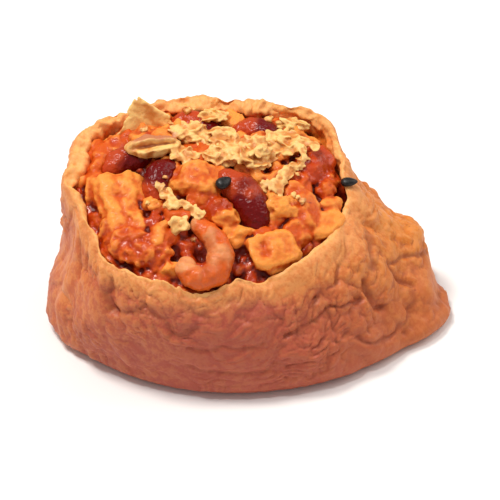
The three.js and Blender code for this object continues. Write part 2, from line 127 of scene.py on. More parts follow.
# The rings of the pouch's mesh: those of its base by their share of its radius, and the others by the
# first, the last and how many. Those of the foot and the lip go by degrees, and those down the inner
# face by shares of its height, close together where it shows.
BASE_RINGS = (0.3, 0.65, 0.88)
FOOT_TURNS = (0, 75, 6)
LIP_TURNS = (15, 165, 11)
SHOWN_RINGS = (0, 0.4, 34)
HIDDEN_RINGS = (0.5, 1, 6)

# The skin's main folds: depth and width, then angles and heights along each. A rise has a depth below 0.
FOLDS = [
    (0.55, 0.45, [(-32, 19), (-35, 18.5), (-37, 17.8), (-38, 17)]),
    (0.6, 0.4, [(-46, 14.2), (-44, 13.5), (-41, 13.5), (-37, 12.8), (-34, 13)]),
    (0.9, 0.6, [(-29, 15), (-30, 14), (-30, 12.8), (-31, 11.8), (-32, 10.5), (-29, 9.5)]),
    (0.45, 0.35, [(-48, 16.2), (-51, 15.2), (-54, 13.5), (-55, 12.5), (-51, 13.2), (-47, 14)]),
    (0.4, 0.4, [(-48, 14), (-49, 12.2), (-51, 10.5), (-52, 8.2)]),
    (0.4, 0.4, [(-55, 12.5), (-60, 12.5), (-63, 12), (-68, 12)]),
    (0.5, 0.55, [(-44, 7.8), (-42, 6.2), (-36, 5.2), (-30, 5), (-26, 5.5), (-21, 6.5), (-17, 8.2),
                 (-15, 9.2)]),
    (0.8, 0.6, [(-15, 14.5), (-16, 13.2), (-15, 10.8), (-14, 10)]),
    (0.6, 0.5, [(-14, 14), (-12, 13.5), (-6, 12.2), (-3, 11.2), (3, 9.2)]),
    (0.5, 0.9, [(-17, 21.5), (-23, 20), (-28, 19)]),
    (0.6, 0.8, [(-10, 19.2), (-16, 17.8), (-22, 16)]),
    (-0.5, 1.0, [(-13, 21.2), (-20, 19.5), (-26, 17.5)]),
    (0.35, 0.25, [(-38, 10.5), (-39, 8)]),
    (0.35, 0.25, [(-34, 11), (-36, 8.4)]),
    (1.1, 1.0, [(-138, 21), (-138, 19.2), (-140, 18), (-138, 17), (-136, 15.8)]),
    (-0.5, 1.2, [(-134, 22.2), (-131, 20), (-130, 18)]),
    (0.45, 0.7, [(-136, 15.8), (-128, 16.5), (-122, 17.8), (-115, 16.2), (-112, 13.8), (-107, 14),
                 (-101, 15)]),
    (0.4, 0.9, [(-114, 22), (-110, 21.5), (-107, 19), (-102, 17.8), (-95, 16.5)]),
    (0.3, 0.5, [(-108, 11.2), (-101, 10.8), (-94, 11.8), (-87, 11.2), (-78, 11.8)]),
    (0.3, 0.5, [(-112, 7.2), (-108, 6.8), (-98, 6.2), (-84, 6.5), (-74, 7.4)]),
    (0.3, 0.5, [(-84, 16), (-78, 15), (-72, 15.4), (-66, 14.6)]),
    (0.5, 0.45, [(-165, 24), (-161, 20.5), (-159, 17)]),
    (0.5, 0.45, [(-159, 24.4), (-156, 21.8), (-155, 18)]),
    (0.5, 0.45, [(-154, 25), (-150, 23.4), (-147, 20)]),
    (0.45, 0.45, [(-171, 23), (-168, 19), (-167, 15)]),
]
# The radius at which the skin is unrolled for its folds, and how far noise makes them wind.
UNROLLED_RADIUS = 26
FOLD_WINDING = (0.5, 1.8)
# The folds of the torn inner side: depth, width, then angles and distances below the rim along each.
INNER_FOLDS = [
    (1.3, 0.55, [(104, 0.4), (97, 1.0), (90, 2.2), (84, 3.6)]),
    (-1.0, 0.6, [(102, 1.8), (95, 2.8), (90, 4.0)]),
    (0.8, 0.6, [(70, 0.6), (62, 1.8), (55, 3.0)]),
    (0.9, 0.7, [(46, 1.0), (38, 2.2), (28, 2.8)]),
    (-0.9, 0.6, [(60, 0.8), (50, 1.6), (42, 2.8)]),
    (0.9, 0.6, [(178, 0.6), (172, 1.6), (160, 2.2)]),
    (-0.8, 0.5, [(186, 1.2), (176, 2.2), (166, 3.2)]),
]
# How dark the painted shade of a fold is for each millimetre of its depth, up to 1.
FOLD_SHADE = 1.6
# Widths of the skin's lobes, wrinkles, fine lines, patches and grain.
LOBE_WIDTH = 6.0
WRINKLE_WIDTH = 2.5
LINE_WIDTH = 1.2
PATCH_WIDTH = 7.0
GRAIN_WIDTH = 0.8
GRAIN_DEPTH = 0.04
# The skin is plain below the first of these heights and has all its detail from the second.
PLAIN_FOOT = 0.2
DETAILED_FROM = 3.0
# Where the skin has long upright lines: angle and spread.
UPRIGHT_LINES = (-162, 30)

# The radius at which noise runs along the rim, and the least thickness of the wall there.
RIM_RADIUS = 22
RIM_WALL = 1.0
# Angle, spread and amount: where the rim is thicker, where it is torn open, how far it falls to its
# inside there, how ragged its edge is, and how rough the sponge of its inside.
THICKER_RIM = [(-20, 25, 0.5), (-130, 30, 0.3)]
TORN_WALL = [(172, 26, 1.8), (76, 60, 2.3)]
TORN_FALL = [(172, 26, 1.0), (76, 60, 1.7)]
RAGGED_RIM = [(-106, 12, 1), (-75, 6, 1), (175, 25, 1), (80, 50, 1)]
RAGGED_LEAST = 0.35
RAGGED_MOST = 1.3
SPONGE_PLACES = [(172, 30, 0.25), (80, 65, 0.5)]
SPONGE_LEAST = 0.1

# Where the skin is golden, besides near the rim: angle, spread, height, the height's spread, share. It is
# partly the skin's own colour and partly painted light on the flanks and the back.
GOLDEN_PLACES = [
    (12, 30, 19, 11, 0.85),
    (90, 80, 18, 18, 0.6),
    (-168, 30, 15, 16, 0.6),
    (-25, 26, 17, 6, 0.25),
    (-46, 20, 21, 5, 0.4),
    (-128, 22, 13, 8, 0.2),
]
# How golden the rim is, and over what depth that fades: partly the skin's own colour and partly painted
# light at the top of the pouch.
GOLDEN_RIM = (0.9, 3.0)
# Where the golden skin turns to amber: angle and spread. It stays golden this near to the rim.
AMBER_SIDE = (-2, 48)
AMBER_BELOW_RIM = 4.5

# ---- The heap's sizes and places, which the solids have too, but for small shifts ----

HEAP_BELOW_RIM = 1.2
HEAP_BACK_DROP = 0.06
HEAP_RISE = 4.4
HEAP_ROUNDNESS = 0.8
# The sauce between the pieces lies this far below the heap's top, in its middle and at the wall.
BED_DEPTH = 1.1
BED_EDGE_DEPTH = 0.9
CORE_GAP = 0.5
CORE_BUMPS = (0.6, 4)
FLOOR_RING_SHARE = 0.86
# How uneven a lump is, the scale of its noise and the step from one seed to the next.
BUMPS = 0.22
LUMP_SCALE = 1.7
LUMP_STEP = 3.1

# x, y, turn, tip, roll, lift and the full length, width and height of each piece on the heap.
BEANS = [
    (0.2, -4.8, -55, 10, 0, -0.6, (13.4, 7.0, 6.6)),
    (-14.4, -0.8, 68, -12, 0, -0.9, (9.6, 5.8, 5.4)),
    (-20.2, 5.2, 14, 8, 0, -1.1, (9.4, 5.6, 5.2)),
    (-7.6, 13.6, -24, 6, 0, -1.0, (9.2, 5.6, 5.4)),
    (2.8, 12.8, -18, -8, 0, -1.2, (8.8, 5.4, 5.0)),
]
CHUNKS = [
    (-21.6, -4.4, 97, 0, 12, -1.6, (14.0, 8.8, 6.6)),
    (-7.4, -1.8, 20, 0, 0, -1.2, (10.8, 9.4, 7.4)),
    (-18.2, -13.2, -28, 0, 0, -1.5, (11.4, 7.2, 5.8)),
    (4.8, -13.0, 24, 0, 0, -1.4, (8.4, 7.0, 6.0)),
    (11.9, 4.7, 48, 0, 0, -1.3, (9.4, 7.4, 6.0)),
    (-25.4, 7.0, 60, 0, 0, -1.5, (7.0, 5.4, 5.0)),
    (10.0, -4.2, -40, 0, 0, -1.5, (8.4, 5.8, 5.0)),
    (9.8, 11.8, 130, 0, 0, -1.4, (8.2, 6.0, 5.2)),
    (14.0, -6.6, 60, 0, 0, -1.6, (6.6, 5.0, 4.8)),
    (-26.2, 0.4, 80, 0, 0, -1.8, (7.0, 5.4, 5.0)),
    (15.0, 1.4, 80, 0, 0, -1.7, (6.0, 4.6, 4.6)),
]
CHUNK_BOXINESS = (0.22, 0.18, 0.1, 0.4, 0.12, 0.2, 0.3, 0.25, 0.3, 0.15, 0.2)
CURLS = [
    (-7.2, -14.4, -50, 10, 0, -0.4, (11.4, 12.4, 8.2)),
    (-1.4, 8.6, 150, 10, 0, -1.2, (7.6, 7.6, 7.0)),
]
# Tries, full size, radius kept clear, boxiness and lift of the pieces drawn at random.
SCATTERED = [
    (900, (7.8, 6.2, 5.4), 3.0, 0.16, -1.5),
    (900, (5.4, 4.4, 4.2), 2.1, 0.1, -1.2),
    (1800, (3.8, 3.0, 2.8), 1.15, 0, -0.9),
]
SCATTER_SEED = 41
SIZE_SPREAD = 0.15
LARGEST_TIP = 25
EDGE_OVERLAP = 0.5
# A large piece keeps clear a radius of its length and width together, divided by this.
CLEAR_DIVISOR = 5
FLAKES = [
    (-16.4, 12.2, 0, -14, -105, 1.7, (11.0, 8.4, 0.9)),
    (-14.0, 6.6, 8, -2, 24, 1.5, (11.4, 5.0, 3.2)),
    (-8.6, 9.8, 30, 10, 0, 1.1, (6.4, 5.0, 2.2)),
    (-3.6, 7.4, 70, 0, -12, 1.0, (7.2, 5.6, 2.6)),
    (2.4, 4.4, 15, 8, 0, 1.2, (7.6, 6.0, 3.0)),
    (7.4, 7.6, -20, -14, 0, 1.1, (9.4, 4.6, 2.0)),
    (7.3, -1.4, 50, 0, 16, 1.5, (6.8, 3.0, 1.8)),
    (-12.4, -5.0, -50, 12, 0, 1.4, (6.8, 3.4, 1.6)),
    (-11.4, -9.8, 10, 0, 0, 0.9, (2.8, 2.2, 1.4)),
    (-4.8, 14.4, 45, 10, 0, 1.0, (5.6, 3.8, 1.6)),
    (9.4, 13.2, 10, 0, -12, 1.0, (5.2, 3.2, 1.6)),
    (-3.4, 3.6, 10, 0, 0, 1.1, (6.4, 4.0, 2.0)),
    (-9.8, 3.4, -15, 0, 0, 1.0, (4.6, 2.8, 1.4)),
]
FLAKE_SIDES = (3, 7, 7, 7, 7, 7, 6, 6, 5, 6, 6, 6, 5)
SEEDS = [
    (-3.6, -3.4, 40, 0, 0, 2.6, (3.1, 2.2, 1.5)),
]
# The seed on the rim: its angle, how high it lies and its size.
RIM_SEED = (5, 0.15, (3.0, 1.9, 1.4))

# ---- The heap's sizes that only its meshes here have ----

# The line that each curl follows from its left end, in millimetres from its middle, and its radius.
CURL_SHAPES = [
    ([(-3.3, -0.4), (-3.0, -3.1), (-0.5, -4.5), (2.2, -3.0), (2.6, 0.4), (0.8, 3.4), (-1.9, 5.8)], 2.15),
    ([(-2.2, 0.8), (-1.6, -1.6), (0.8, -2.2), (2.4, -0.4), (1.8, 1.8)], 1.7),
]
CURL_ARCH = 0.5
CURL_STEPS = 130
CURL_SIDES = 48
# The curl's height is the mean of the heap's over this many steps to each side.
CURL_SETTLING = 20
# Bands round a curl: how deep they are for its radius, and how many radians of them lie along it. The
# stripes on its pale end: how strong they are and how many radians of them there would be.
CURL_BANDS = (0.03, 34)
CURL_STRIPES = (0.2, 52)
# How pale a curl is at these shares of its length, from its left end to its upper one.
CURL_TINTS = ([0, 0.12, 0.25, 0.42, 0.6, 0.78, 0.9, 1.0], [0.9, 0.75, 0.35, 0.15, 0.5, 0.45, 0.1, 1.0])
# Hollows in the sauce between the pieces, which the finish darkens with painted shade as they lie low: x,
# y, depth and spread.
HOLLOWS = [
    (-18.8, 2.1, 1.8, 1.7),
    (-14.9, -9.4, 1.3, 1.4),
    (-12.6, -14.4, 1.8, 1.3),
    (-0.6, -14.1, 2.2, 1.7),
    (-1.8, -17.2, 1.6, 1.3),
    (1.6, -0.5, 2.2, 1.9),
    (4.6, 1.0, 1.6, 1.5),
    (17.7, -0.3, 2.4, 1.9),
    (1.8, -11.7, 2.0, 1.5),
    (11.9, -12.0, 1.6, 1.5),
    (-24.3, 8.1, 1.0, 1.3),
    (-2.0, 14.7, 1.5, 1.5),
    (-7.9, -13.8, 2.0, 1.4),
    (-15.6, 3.6, 1.6, 1.4),
]
# The kinds of food: how many flat cuts, the widths of the lobes along a piece and their depth, how deep
# the pleats along it are, how grainy the surface is, and how red it is.
KINDS = {
    "folded": (3, (9.0, 4.4, 4.4), 0.8, 0.6, 0.75, 0.15),
    "diced": (9, (6.0, 5.0, 5.0), 0.3, 0, 0.6, 0.15),
    "minced": (0, (3.0, 2.2, 2.2), 0.6, 0, 1.3, 0.5),
    "red": (6, (5.0, 4.0, 4.0), 0.4, 0.3, 0.7, 0.9),
    "smooth": (4, (8.0, 6.0, 6.0), 0.6, 0, 0.7, 0.3),
}
PLEAT_WIDTH = 3.4
# How wide and how far noise makes the lobes and pleats of a piece wind.
LUMP_WINDING = (3.0, 0.9)
# The kind and the paleness of each chunk, and the kinds that the drawn pieces take in turn.
CHUNK_KINDS = "folded smooth minced diced red folded diced diced diced folded minced".split()
CHUNK_TINTS = (0.68, 0.5, 0.3, 0.68, 0.1, 0.2, 0.4, 0.5, 0.85, 0.5, 0.2)
DRAWN_KINDS = ("diced", "minced", "folded", "red")
FILLER_KINDS = ("folded", "minced", "diced", "red")
# A flat cut leaves at least this much of a piece's radius, and up to that much more.
CUT_LEAST = 0.66
CUT_MORE = 0.22
# A piece is made larger by this share for each of its cuts.
CUT_SWELL = 0.012
# The shown skin reaches this far down below the top of the sauce, and the sauce under it lies lower.
SLAB = 3.0
BED_BELOW_SLAB = 1.0
BED_COLUMNS = 160
SLAB_COLUMNS = 120
# The first, the last and the number of the rings over the sauce, as shares of the way to the wall:
# those of the bed, those of the slab's underside and those of its top.
BED_RINGS = (0.92, 0.03, 40)
BED_SIDE_RINGS = 14
SLAB_UNDERSIDE = (0.05, 0.97, 8)
SLAB_TOP = (1, 0.03, 30)
# How far the sauce goes into the wall, the depth and width of its small bumps, and its finish's values.
SAUCE_IN_WALL = 0.2
SAUCE_BUMPS = (0.6, 1.9)
# The bed lies under the pieces: its cleft shade and low values darken it with painted shade.
BED_SPOTS = {"ridge": 0.3, "cleft": 0.4, "low": 0.6, "tint": 0.3, "red": 0.6}
SLAB_SPOTS = {"tint": 0.3, "grain": 0.8, "red": 0.6}
# How many passes even out the surface that its ridges, and the clefts that get painted shade, are measured
# from.
EVENING_PASSES = (8, 60, 220)
# Small pieces fill gaps at least this deep, this far apart, where no hollow is deeper than is kept.
FILLER_GAP = 0.5
FILLER_APART = 1.9
HOLLOW_KEPT = 0.5
# Their width and how many times longer they are, each as the least and how much more it may be, how far
# they tip at most, their height as a share of their width, and how far they stay clear of the curls.
FILLER_WIDTH = (2.4, 2.2)
FILLER_STRETCH = (1.1, 0.6)
FILLER_TIP = 30
FILLER_FLATNESS = 0.85
CURL_CLEARANCE = 0.6
# A drawn piece goes down by this share of the hollow that it lies in.
HOLLOW_SINK = 0.8
# The width and the depth of a bean's hollow side, and how far its ends and its middle bend, each as a
# share of its half sizes.
BEAN_HOLLOW = (0.35, 0.2)
BEAN_BEND = (0.45, 0.2)
# Depth, width and first seed of the dents in a bean's skin.
BEAN_DENTS = [(0.12, 2.8, 50), (0.09, 1.4, 60), (0.07, 0.8, 65)]
# The upright shard, which leans to the left and back, and the rows and columns of its mesh.
SHARD_FOOT = (-16.9, 11.0)
SHARD_WIDTH = 14.0
SHARD_TAPER = 0.92
SHARD_LEAN = (-0.9, 3.4)
SHARD_HEIGHT = 6.3
SHARD_BOW = 0.8
SHARD_SUNK = 0.4
SHARD_TIP = 0.38
SHARD_THICKNESS = 0.6
SHARD_ROWS = 60
SHARD_COLUMNS = 44
# The folded pod, with a slit between lips that faces up and forwards: the slit's half width in radians
# and its depth, then how far from its middle the lips are, their width and their height.
POD_MIDDLE = (-15.2, 5.4)
POD_SIZE = (9.6, 4.4, 3.6)
POD_SLANT = 0.1
POD_LIFT = 1.7
POD_SLIT_TURN = 132
POD_SLIT = (0.36, 0.8)
POD_LIPS = (0.5, 0.2, 0.2)
# The tan stretch of the pod: how far behind its middle it is, its half length and width, and how tan.
TAN_FROM_MIDDLE = 0.8
TAN_LENGTH = 4.8
TAN_SPREAD = 1.8
TAN_SHARE = 1.3
# The bits of a flake: the least number, how many more for its half sizes multiplied together, and how
# far they spread. The half sizes of a bit: the least, how much more, and its half thickness.
FLAKE_BITS = 16
FLAKE_DENSITY = 6.5
FLAKE_SPREAD = 1.12
CRISP_BIT_LENGTH = (1.2, 0.9)
CRISP_BIT_WIDTH = (0.75, 0.45)
CRISP_BIT_THICKNESS = 0.34
# How far the lumps and the grain of the crisps' skin stand out.
CRISP_LUMPS = 0.1
CRISP_GRAIN = 0.05
# The scales of the noise of a flake's outline and height, and its step from one flake to the next.
FLAKE_WAVES = (1.3, 1.1)
FLAKE_STEP = 2.3
# The flakes with forms of their own: the shard, the pod, and two that are thin strips of bits.
OWN_FORMS = (0, 1, 6, 7)
# The ends, the width and the number of bits of each strip.
STRIPS = [
    ((3.4, -3.0), (6.4, -2.0), 1.5, 16),
    ((5.6, -4.2), (7.6, 0.4), 1.7, 26),
    ((7.4, 0.2), (11.0, 4.2), 1.1, 24),
    ((-14.8, -3.2), (-13.4, -4.6), 1.1, 8),
    ((-13.4, -4.4), (-11.8, -7.8), 1.9, 26),
    ((-11.0, -6.6), (-7.4, -9.2), 0.5, 16),
]
# How much a seed narrows to its end.
SEED_TAPER = 0.3
# The numbers that the draws for each group of pieces start from.
CHUNK_DRAW = 7
CRISP_DRAW = 23
FILLER_DRAW = 61
BITS_DRAW = 97
CRUMBS_DRAW = 131
# Bits and crumbs lie where the surface below them faces up by at least this much. Their width is the
# least and up to that much more, bits keep this far from the wall, and crumbs lie this near to the
# middle of a flake, again as the least and how much more.
LEAST_UPRIGHT = 0.2
BIT_WIDTH = (0.35, 0.75)
BIT_INSET = 0.8
CRUMB_WIDTH = (0.3, 0.5)
CRUMB_REACH = (2.0, 3.0)
# The pieces that the fillers, and then the strips, the bits and the crumbs, come to lie on.
BESIDE_CHUNKS = ["pale_curl_1", "pale_curl_2", *(f"red_bean_skin_{i + 1}" for i in range(len(BEANS)))]
HEAP_PIECES = ["sauced_pieces", *BESIDE_CHUNKS]

# ---- The stage ----

# Half the floor's side, how far below the pouch it lies, and how far to the right the camera aims.
FLOOR_HALF = 1500.0
FLOOR_BELOW = 0.02
AIM_ASIDE = 0.6
# The nearest that the camera sees, in metres.
NEAREST_SEEN = 0.05
# Each light's name, its place and size in metres and its colour.
LIGHTS = [
    ("key", (-0.25, 0.08, 0.65), 0.2, (1.0, 0.98, 0.94)),
    ("fill", (0.5, 0.15, 0.45), 0.5, (1.0, 0.97, 0.93)),
    ("glint", (-0.1, -0.12, 0.65), 0.05, (1.0, 1.0, 1.0)),
]


# ---- Repeatable random numbers and smooth noise ----


def make_draw(seed):
    """A function that gives the next random number from 0 to 1 at each call."""
    state = seed

    def draw():
        nonlocal state
        state = (state * DRAW_FACTOR + DRAW_STEP) % 2**32
        return state / 2**32

    return draw


def drawn(draw, least, more):
    """The next random number, from the least up to that much more."""
    return least + more * draw()


def lattice_value(i, j, k):
    """A value from -1 to 1 for each point with whole-number coordinates."""
    mixed = sum(step * factor for step, factor in zip((i, j, k), LATTICE_FACTORS)).astype(np.uint32)
    with np.errstate(over="ignore"):
        mixed = (mixed ^ (mixed >> np.uint32(13))) * np.uint32(LATTICE_MIXER)
    return (mixed ^ (mixed >> np.uint32(16))) / 2**31 - 1


def noise(points, width=1.0, seed=0):
    """Smooth noise from -1 to 1, which changes over about one width, given once or for each axis."""
    scaled = np.asarray(points, float) / width + SEED_STEP * seed
    whole = np.floor(scaled).astype(np.int64)
    part = scaled - whole
    blend = part**3 * (part * (part * 6 - 15) + 10)
    total = 0
    for corner in range(8):
        step = np.array([corner & 1, (corner >> 1) & 1, corner >> 2])
        share = np.prod(np.where(step == 1, blend, 1 - blend), axis=-1)
        total = total + share * lattice_value(*np.moveaxis(whole + step, -1, 0))
    return total


def rough(points, width, seed=0, layers=3):
    """Noise with finer layers on top, each half as wide and half as strong as the one before."""
    return sum(noise(points, np.divide(width, 2**n), seed + n) / 2**n for n in range(layers))


def warped(points, width, reach, seed=0):
    """The points, each moved by up to about the reach, so that what is drawn on them winds."""
    moves = [noise(points, width, seed + axis) for axis in range(3)]
    return points + reach * np.stack(moves, axis=-1)


def smooth_step(low, high, value):
    """0 up to low, 1 from high, and smooth in between."""
    part = np.clip((value - low) / (high - low), 0, 1)
    return part * part * (3 - 2 * part)


def bell(value, width):
    """1 where the value is 0, falling to nothing over about twice the width."""
    return np.exp(-((value / width) ** 2))


def near(angle, middle, spread):
    """1 at the middle, falling to nothing over about twice the spread. The last two are degrees."""
    offset = angle - middle * DEGREE
    return bell(np.arctan2(np.sin(offset), np.cos(offset)), spread * DEGREE)


def near_all(angle, places, least=0.0):
    """The least, with each place's amount added near it. A place is an angle, a spread and an amount."""
    return sum((amount * near(angle, middle, spread) for middle, spread, amount in places), least)


# ---- The pouch's shape, as the solids have it ----


def ellipse_radius(angle, half_length, half_width):
    """How far the edge of an ellipse is from its middle at an angle."""
    return 1 / np.hypot(np.cos(angle) / half_length, np.sin(angle) / half_width)


def mouth_radius(angle):
    """How far the mouth's edge is from its middle at an angle, seen from above."""
    radius = ellipse_radius(angle, MOUTH_HALF_LENGTH, MOUTH_HALF_WIDTH)
    return radius + sum(out * near(angle, middle, spread) for middle, spread, out, _ in RIM_CHANGES)


def mouth_plane(x, y):
    """The height of the sloping plane that the mouth lies in."""
    rise = MOUTH_SLOPE[0] * (x - MOUTH_MIDDLE[0]) + MOUTH_SLOPE[1] * (y - MOUTH_MIDDLE[1])
    return MOUTH_MIDDLE[2] + rise


def rim_height(angle):
    """The height of the rim at an angle."""
    radius = mouth_radius(angle)
    x = MOUTH_MIDDLE[0] + radius * np.cos(angle)
    y = MOUTH_MIDDLE[1] + radius * np.sin(angle)
    lift = sum(up * near(angle, middle, spread) for middle, spread, _, up in RIM_CHANGES)
    waves = sum(height * np.sin(turns * angle + phase) for height, turns, phase in RIM_WAVES)
    return mouth_plane(x, y) + lift + waves


def skin_sides(angle, z):
    """How far a place is on the front, the gathered side, and the crumpled rest, each 0 to 1."""
    gathered = near(angle, *GATHERED_SIDE) * smooth_step(*GATHER_HEIGHTS, z)
    front = near(angle, *FRONT_SIDE)
    return front, gathered, 1 - np.maximum(front, gathered)


def skin_relief(angle, points):
    """How far the skin stands out, as on the solid."""
    z = points[..., 2]
    front, gathered, crumpled = skin_sides(angle, z)

    def layer(sizes):
        depth, width, height = sizes
        return depth, noise(points, np.array([width, width, height]))

    swell_depth, swells = layer(SWELLS)
    crease_depth, creases = layer(CREASES)
    puff_depth, puffs = layer(PUFFS)
    relief = swell_depth * swells + crease_depth * front * creases
    relief += GATHER_DEPTH * gathered * np.sin(GATHERS_PER_TURN * angle)
    relief += puff_depth * crumpled * (np.abs(puffs) - PUFF_LEVEL)
    return relief * smooth_step(0, SMOOTH_FOOT, z)


def side_point(angle, z, inset=0.0, relief_share=1.0):
    """Points of the pouch's side at these angles and heights, moved inwards by the inset."""
    angle, z = np.broadcast_arrays(np.asarray(angle, float), np.asarray(z, float))
    rise = np.clip(z / rim_height(angle), 0, 1)
    lean = rise**LEAN_POWER
    middle, spread, flatter = FLAT_FLANK
    belly = BELLY - flatter * near(angle, middle, spread)
    radius = ellipse_radius(angle, BASE_HALF_LENGTH, BASE_HALF_WIDTH) * (1 - lean)
    radius = radius + mouth_radius(angle) * lean + belly * np.sin(math.pi * rise)
    for middle, spread, reach, height, tall in BULGES:
        radius = radius + reach * near(angle, middle, spread) * bell(z - height, tall)
    below = np.clip(FOOT_ROUND - z, 0, FOOT_ROUND)
    radius = radius - FOOT_ROUND + np.sqrt(FOOT_ROUND**2 - below**2)
    x = MOUTH_MIDDLE[0] * lean + radius * np.cos(angle)
    y = MOUTH_MIDDLE[1] * lean + radius * np.sin(angle)
    moved = relief_share * skin_relief(angle, np.stack([x, y, z], axis=-1)) - inset
    return np.stack([x + moved * np.cos(angle), y + moved * np.sin(angle), z], axis=-1)


def level_wall(angle, z, thickness):
    """The level distance that gives the wall its thickness where it leans."""
    foot = np.maximum(FOOT_ROUND, z - 1)
    drift = side_point(angle, foot + 1, 0, 0) - side_point(angle, foot, 0, 0)
    lean = drift[..., 0] * np.cos(angle) + drift[..., 1] * np.sin(angle)
    return thickness * np.hypot(1, lean)


def inner_point(angle, z, thickness):
    """Points of the pouch's inner side, which has the outside's relief where it shows."""
    top = rim_height(angle)
    shown = smooth_step(top - INSIDE_SHOWN[0], top - INSIDE_SHOWN[1], z)
    inset = level_wall(angle, z, thickness) + HIDDEN_WALL_EXTRA * (1 - shown)
    return side_point(angle, z, inset, shown)


# ---- The heap's shape, as the solids have it ----


def heap_top(x, y):
    """The height of the heap, a low dome over the mouth."""
    along_x, along_y = x - MOUTH_MIDDLE[0], y - MOUTH_MIDDLE[1]
    reach = np.hypot(along_x, along_y) / (mouth_radius(np.arctan2(along_y, along_x)) - WALL)
    dome = HEAP_RISE * (1 - np.minimum(1, reach) ** 2) ** HEAP_ROUNDNESS
    return mouth_plane(x, y) - HEAP_BELOW_RIM - HEAP_BACK_DROP * along_y + dome


def heap_normal(x, y):
    """The direction straight out of the heap."""
    step = 1.5
    slope_x = (heap_top(x + step, y) - heap_top(x - step, y)) / (2 * step)
    slope_y = (heap_top(x, y + step) - heap_top(x, y - step)) / (2 * step)
    return Vector((-slope_x, -slope_y, 1)).normalized()


def hollow_depth(x, y):
    """How far below its usual level the sauce lies, in millimetres."""
    total = 0
    for middle_x, middle_y, depth, spread in HOLLOWS:
        square = (x - middle_x) ** 2 + (y - middle_y) ** 2
        total = total + depth * np.exp(-(square / spread**2))
    return total


def seat(piece):
    """The turn, the half sizes and the place of a piece that lies on the heap."""
    x, y, turn, tip, roll, lift, size = piece
    normal = heap_normal(x, y)
    lie = Vector((0, 0, 1)).rotation_difference(normal).to_matrix()
    own = Matrix.Rotation(turn * DEGREE, 3, "Z")
    own = own @ Matrix.Rotation(tip * DEGREE, 3, "Y") @ Matrix.Rotation(roll * DEGREE, 3, "X")
    place = Vector((x, y, heap_top(x, y))) + normal * lift
    return np.array(lie @ own), np.array(size) / 2, np.array(place)


def scatter_pieces():
    """The pieces drawn at random over the heap, each with its boxiness, largest kind first."""
    draw = make_draw(SCATTER_SEED)
    large = BEANS + CHUNKS + CURLS
    taken = [(x, y, (size[0] + size[1]) / CLEAR_DIVISOR) for x, y, *_, size in large]
    found = []
    for tries, size, apart, boxiness, lift in SCATTERED:
        for _ in range(tries):
            x = MOUTH_MIDDLE[0] + (2 * draw() - 1) * MOUTH_HALF_LENGTH
            y = MOUTH_MIDDLE[1] + (2 * draw() - 1) * MOUTH_HALF_WIDTH
            scale = 1 + SIZE_SPREAD * (2 * draw() - 1)
            turn = 360 * draw()
            tip = LARGEST_TIP * (2 * draw() - 1)
            along_x, along_y = x - MOUTH_MIDDLE[0], y - MOUTH_MIDDLE[1]
            edge = mouth_radius(math.atan2(along_y, along_x)) - WALL + EDGE_OVERLAP
            if edge - size[1] * scale / 2 < math.hypot(along_x, along_y):
                continue
            radius = apart * scale
            if any(math.hypot(old_x - x, old_y - y) < clear + radius for old_x, old_y, clear in taken):
                continue
            taken.append((x, y, radius))
            scaled = tuple(side * scale for side in size)
            found.append(((x, y, turn, tip, 0, lift, scaled), boxiness))
    return found


# ---- Meshes ----


def make_piece(name, points, faces, spots=None):
    """A smooth mesh object from points in millimetres, with a named value at each of its points."""
    mesh = bpy.data.meshes.new(name)
    mesh.from_pydata((np.asarray(points) * MM).tolist(), [], np.asarray(faces).tolist())
    mesh.shade_smooth()
    for label, values in (spots or {}).items():
        layer = mesh.attributes.new(label, "FLOAT", "POINT")
        layer.data.foreach_set("value", np.asarray(values, np.float32).ravel())
    piece = bpy.data.objects.new(name, mesh)
    bpy.context.scene.collection.objects.link(piece)
    return piece


def ring_faces(rows, columns):
    """Triangles of a closed surface through rings of points, with a point at each end of it."""
    row, column = np.meshgrid(np.arange(rows - 1), np.arange(columns), indexing="ij")
    beside = (column + 1) % columns
    low, low_next = 1 + row * columns + column, 1 + row * columns + beside
    high, high_next = low + columns, low_next + columns
    halves = [(low, low_next, high_next), (low, high_next, high)]
    sides = [np.stack(half, axis=-1).reshape(-1, 3) for half in halves]
    first = 1 + np.arange(columns)
    last = first + (rows - 1) * columns
    start = np.stack([0 * first, np.roll(first, -1), first], axis=-1)
    end = np.stack([last, np.roll(last, -1), 0 * last + rows * columns + 1], axis=-1)
    return np.vstack([*sides, start, end])


def closed_points(rings):
    """The points of rings, with the middle of the first ring before and of the last one after."""
    flat = rings.reshape(-1, rings.shape[-1])
    return np.vstack([rings[:1].mean(axis=1), flat, rings[-1:].mean(axis=1)])


def closed_with(rings, values):
    """The closed points of rings, and the rings' named values at each of them."""
    table = closed_points(np.concatenate([rings, np.stack(list(values.values()), axis=-1)], axis=-1))
    return table[:, :3], {label: table[:, 3 + i] for i, label in enumerate(values)}


def ring_normals(rings):
    """The outward direction at each point of a grid of rings that go round counter-clockwise."""
    around = np.roll(rings, -1, axis=1) - np.roll(rings, 1, axis=1)
    along = np.gradient(rings, axis=0)
    normals = np.cross(around, along)
    return normals / np.maximum(np.linalg.norm(normals, axis=-1, keepdims=True), 1e-9)


def ball(detail):
    """The points and triangles of an evenly divided ball of radius 1."""
    form = bmesh.new()
    bmesh.ops.create_icosphere(form, subdivisions=detail, radius=1)
    points = np.array([corner.co[:] for corner in form.verts])
    faces = np.array([[corner.index for corner in face.verts] for face in form.faces])
    form.free()
    return points, faces


def mesh_points(mesh):
    """The places of a mesh's points, in millimetres."""
    places = np.empty(len(mesh.vertices) * 3, np.float32)
    mesh.vertices.foreach_get("co", places)
    return places.reshape(-1, 3) / MM


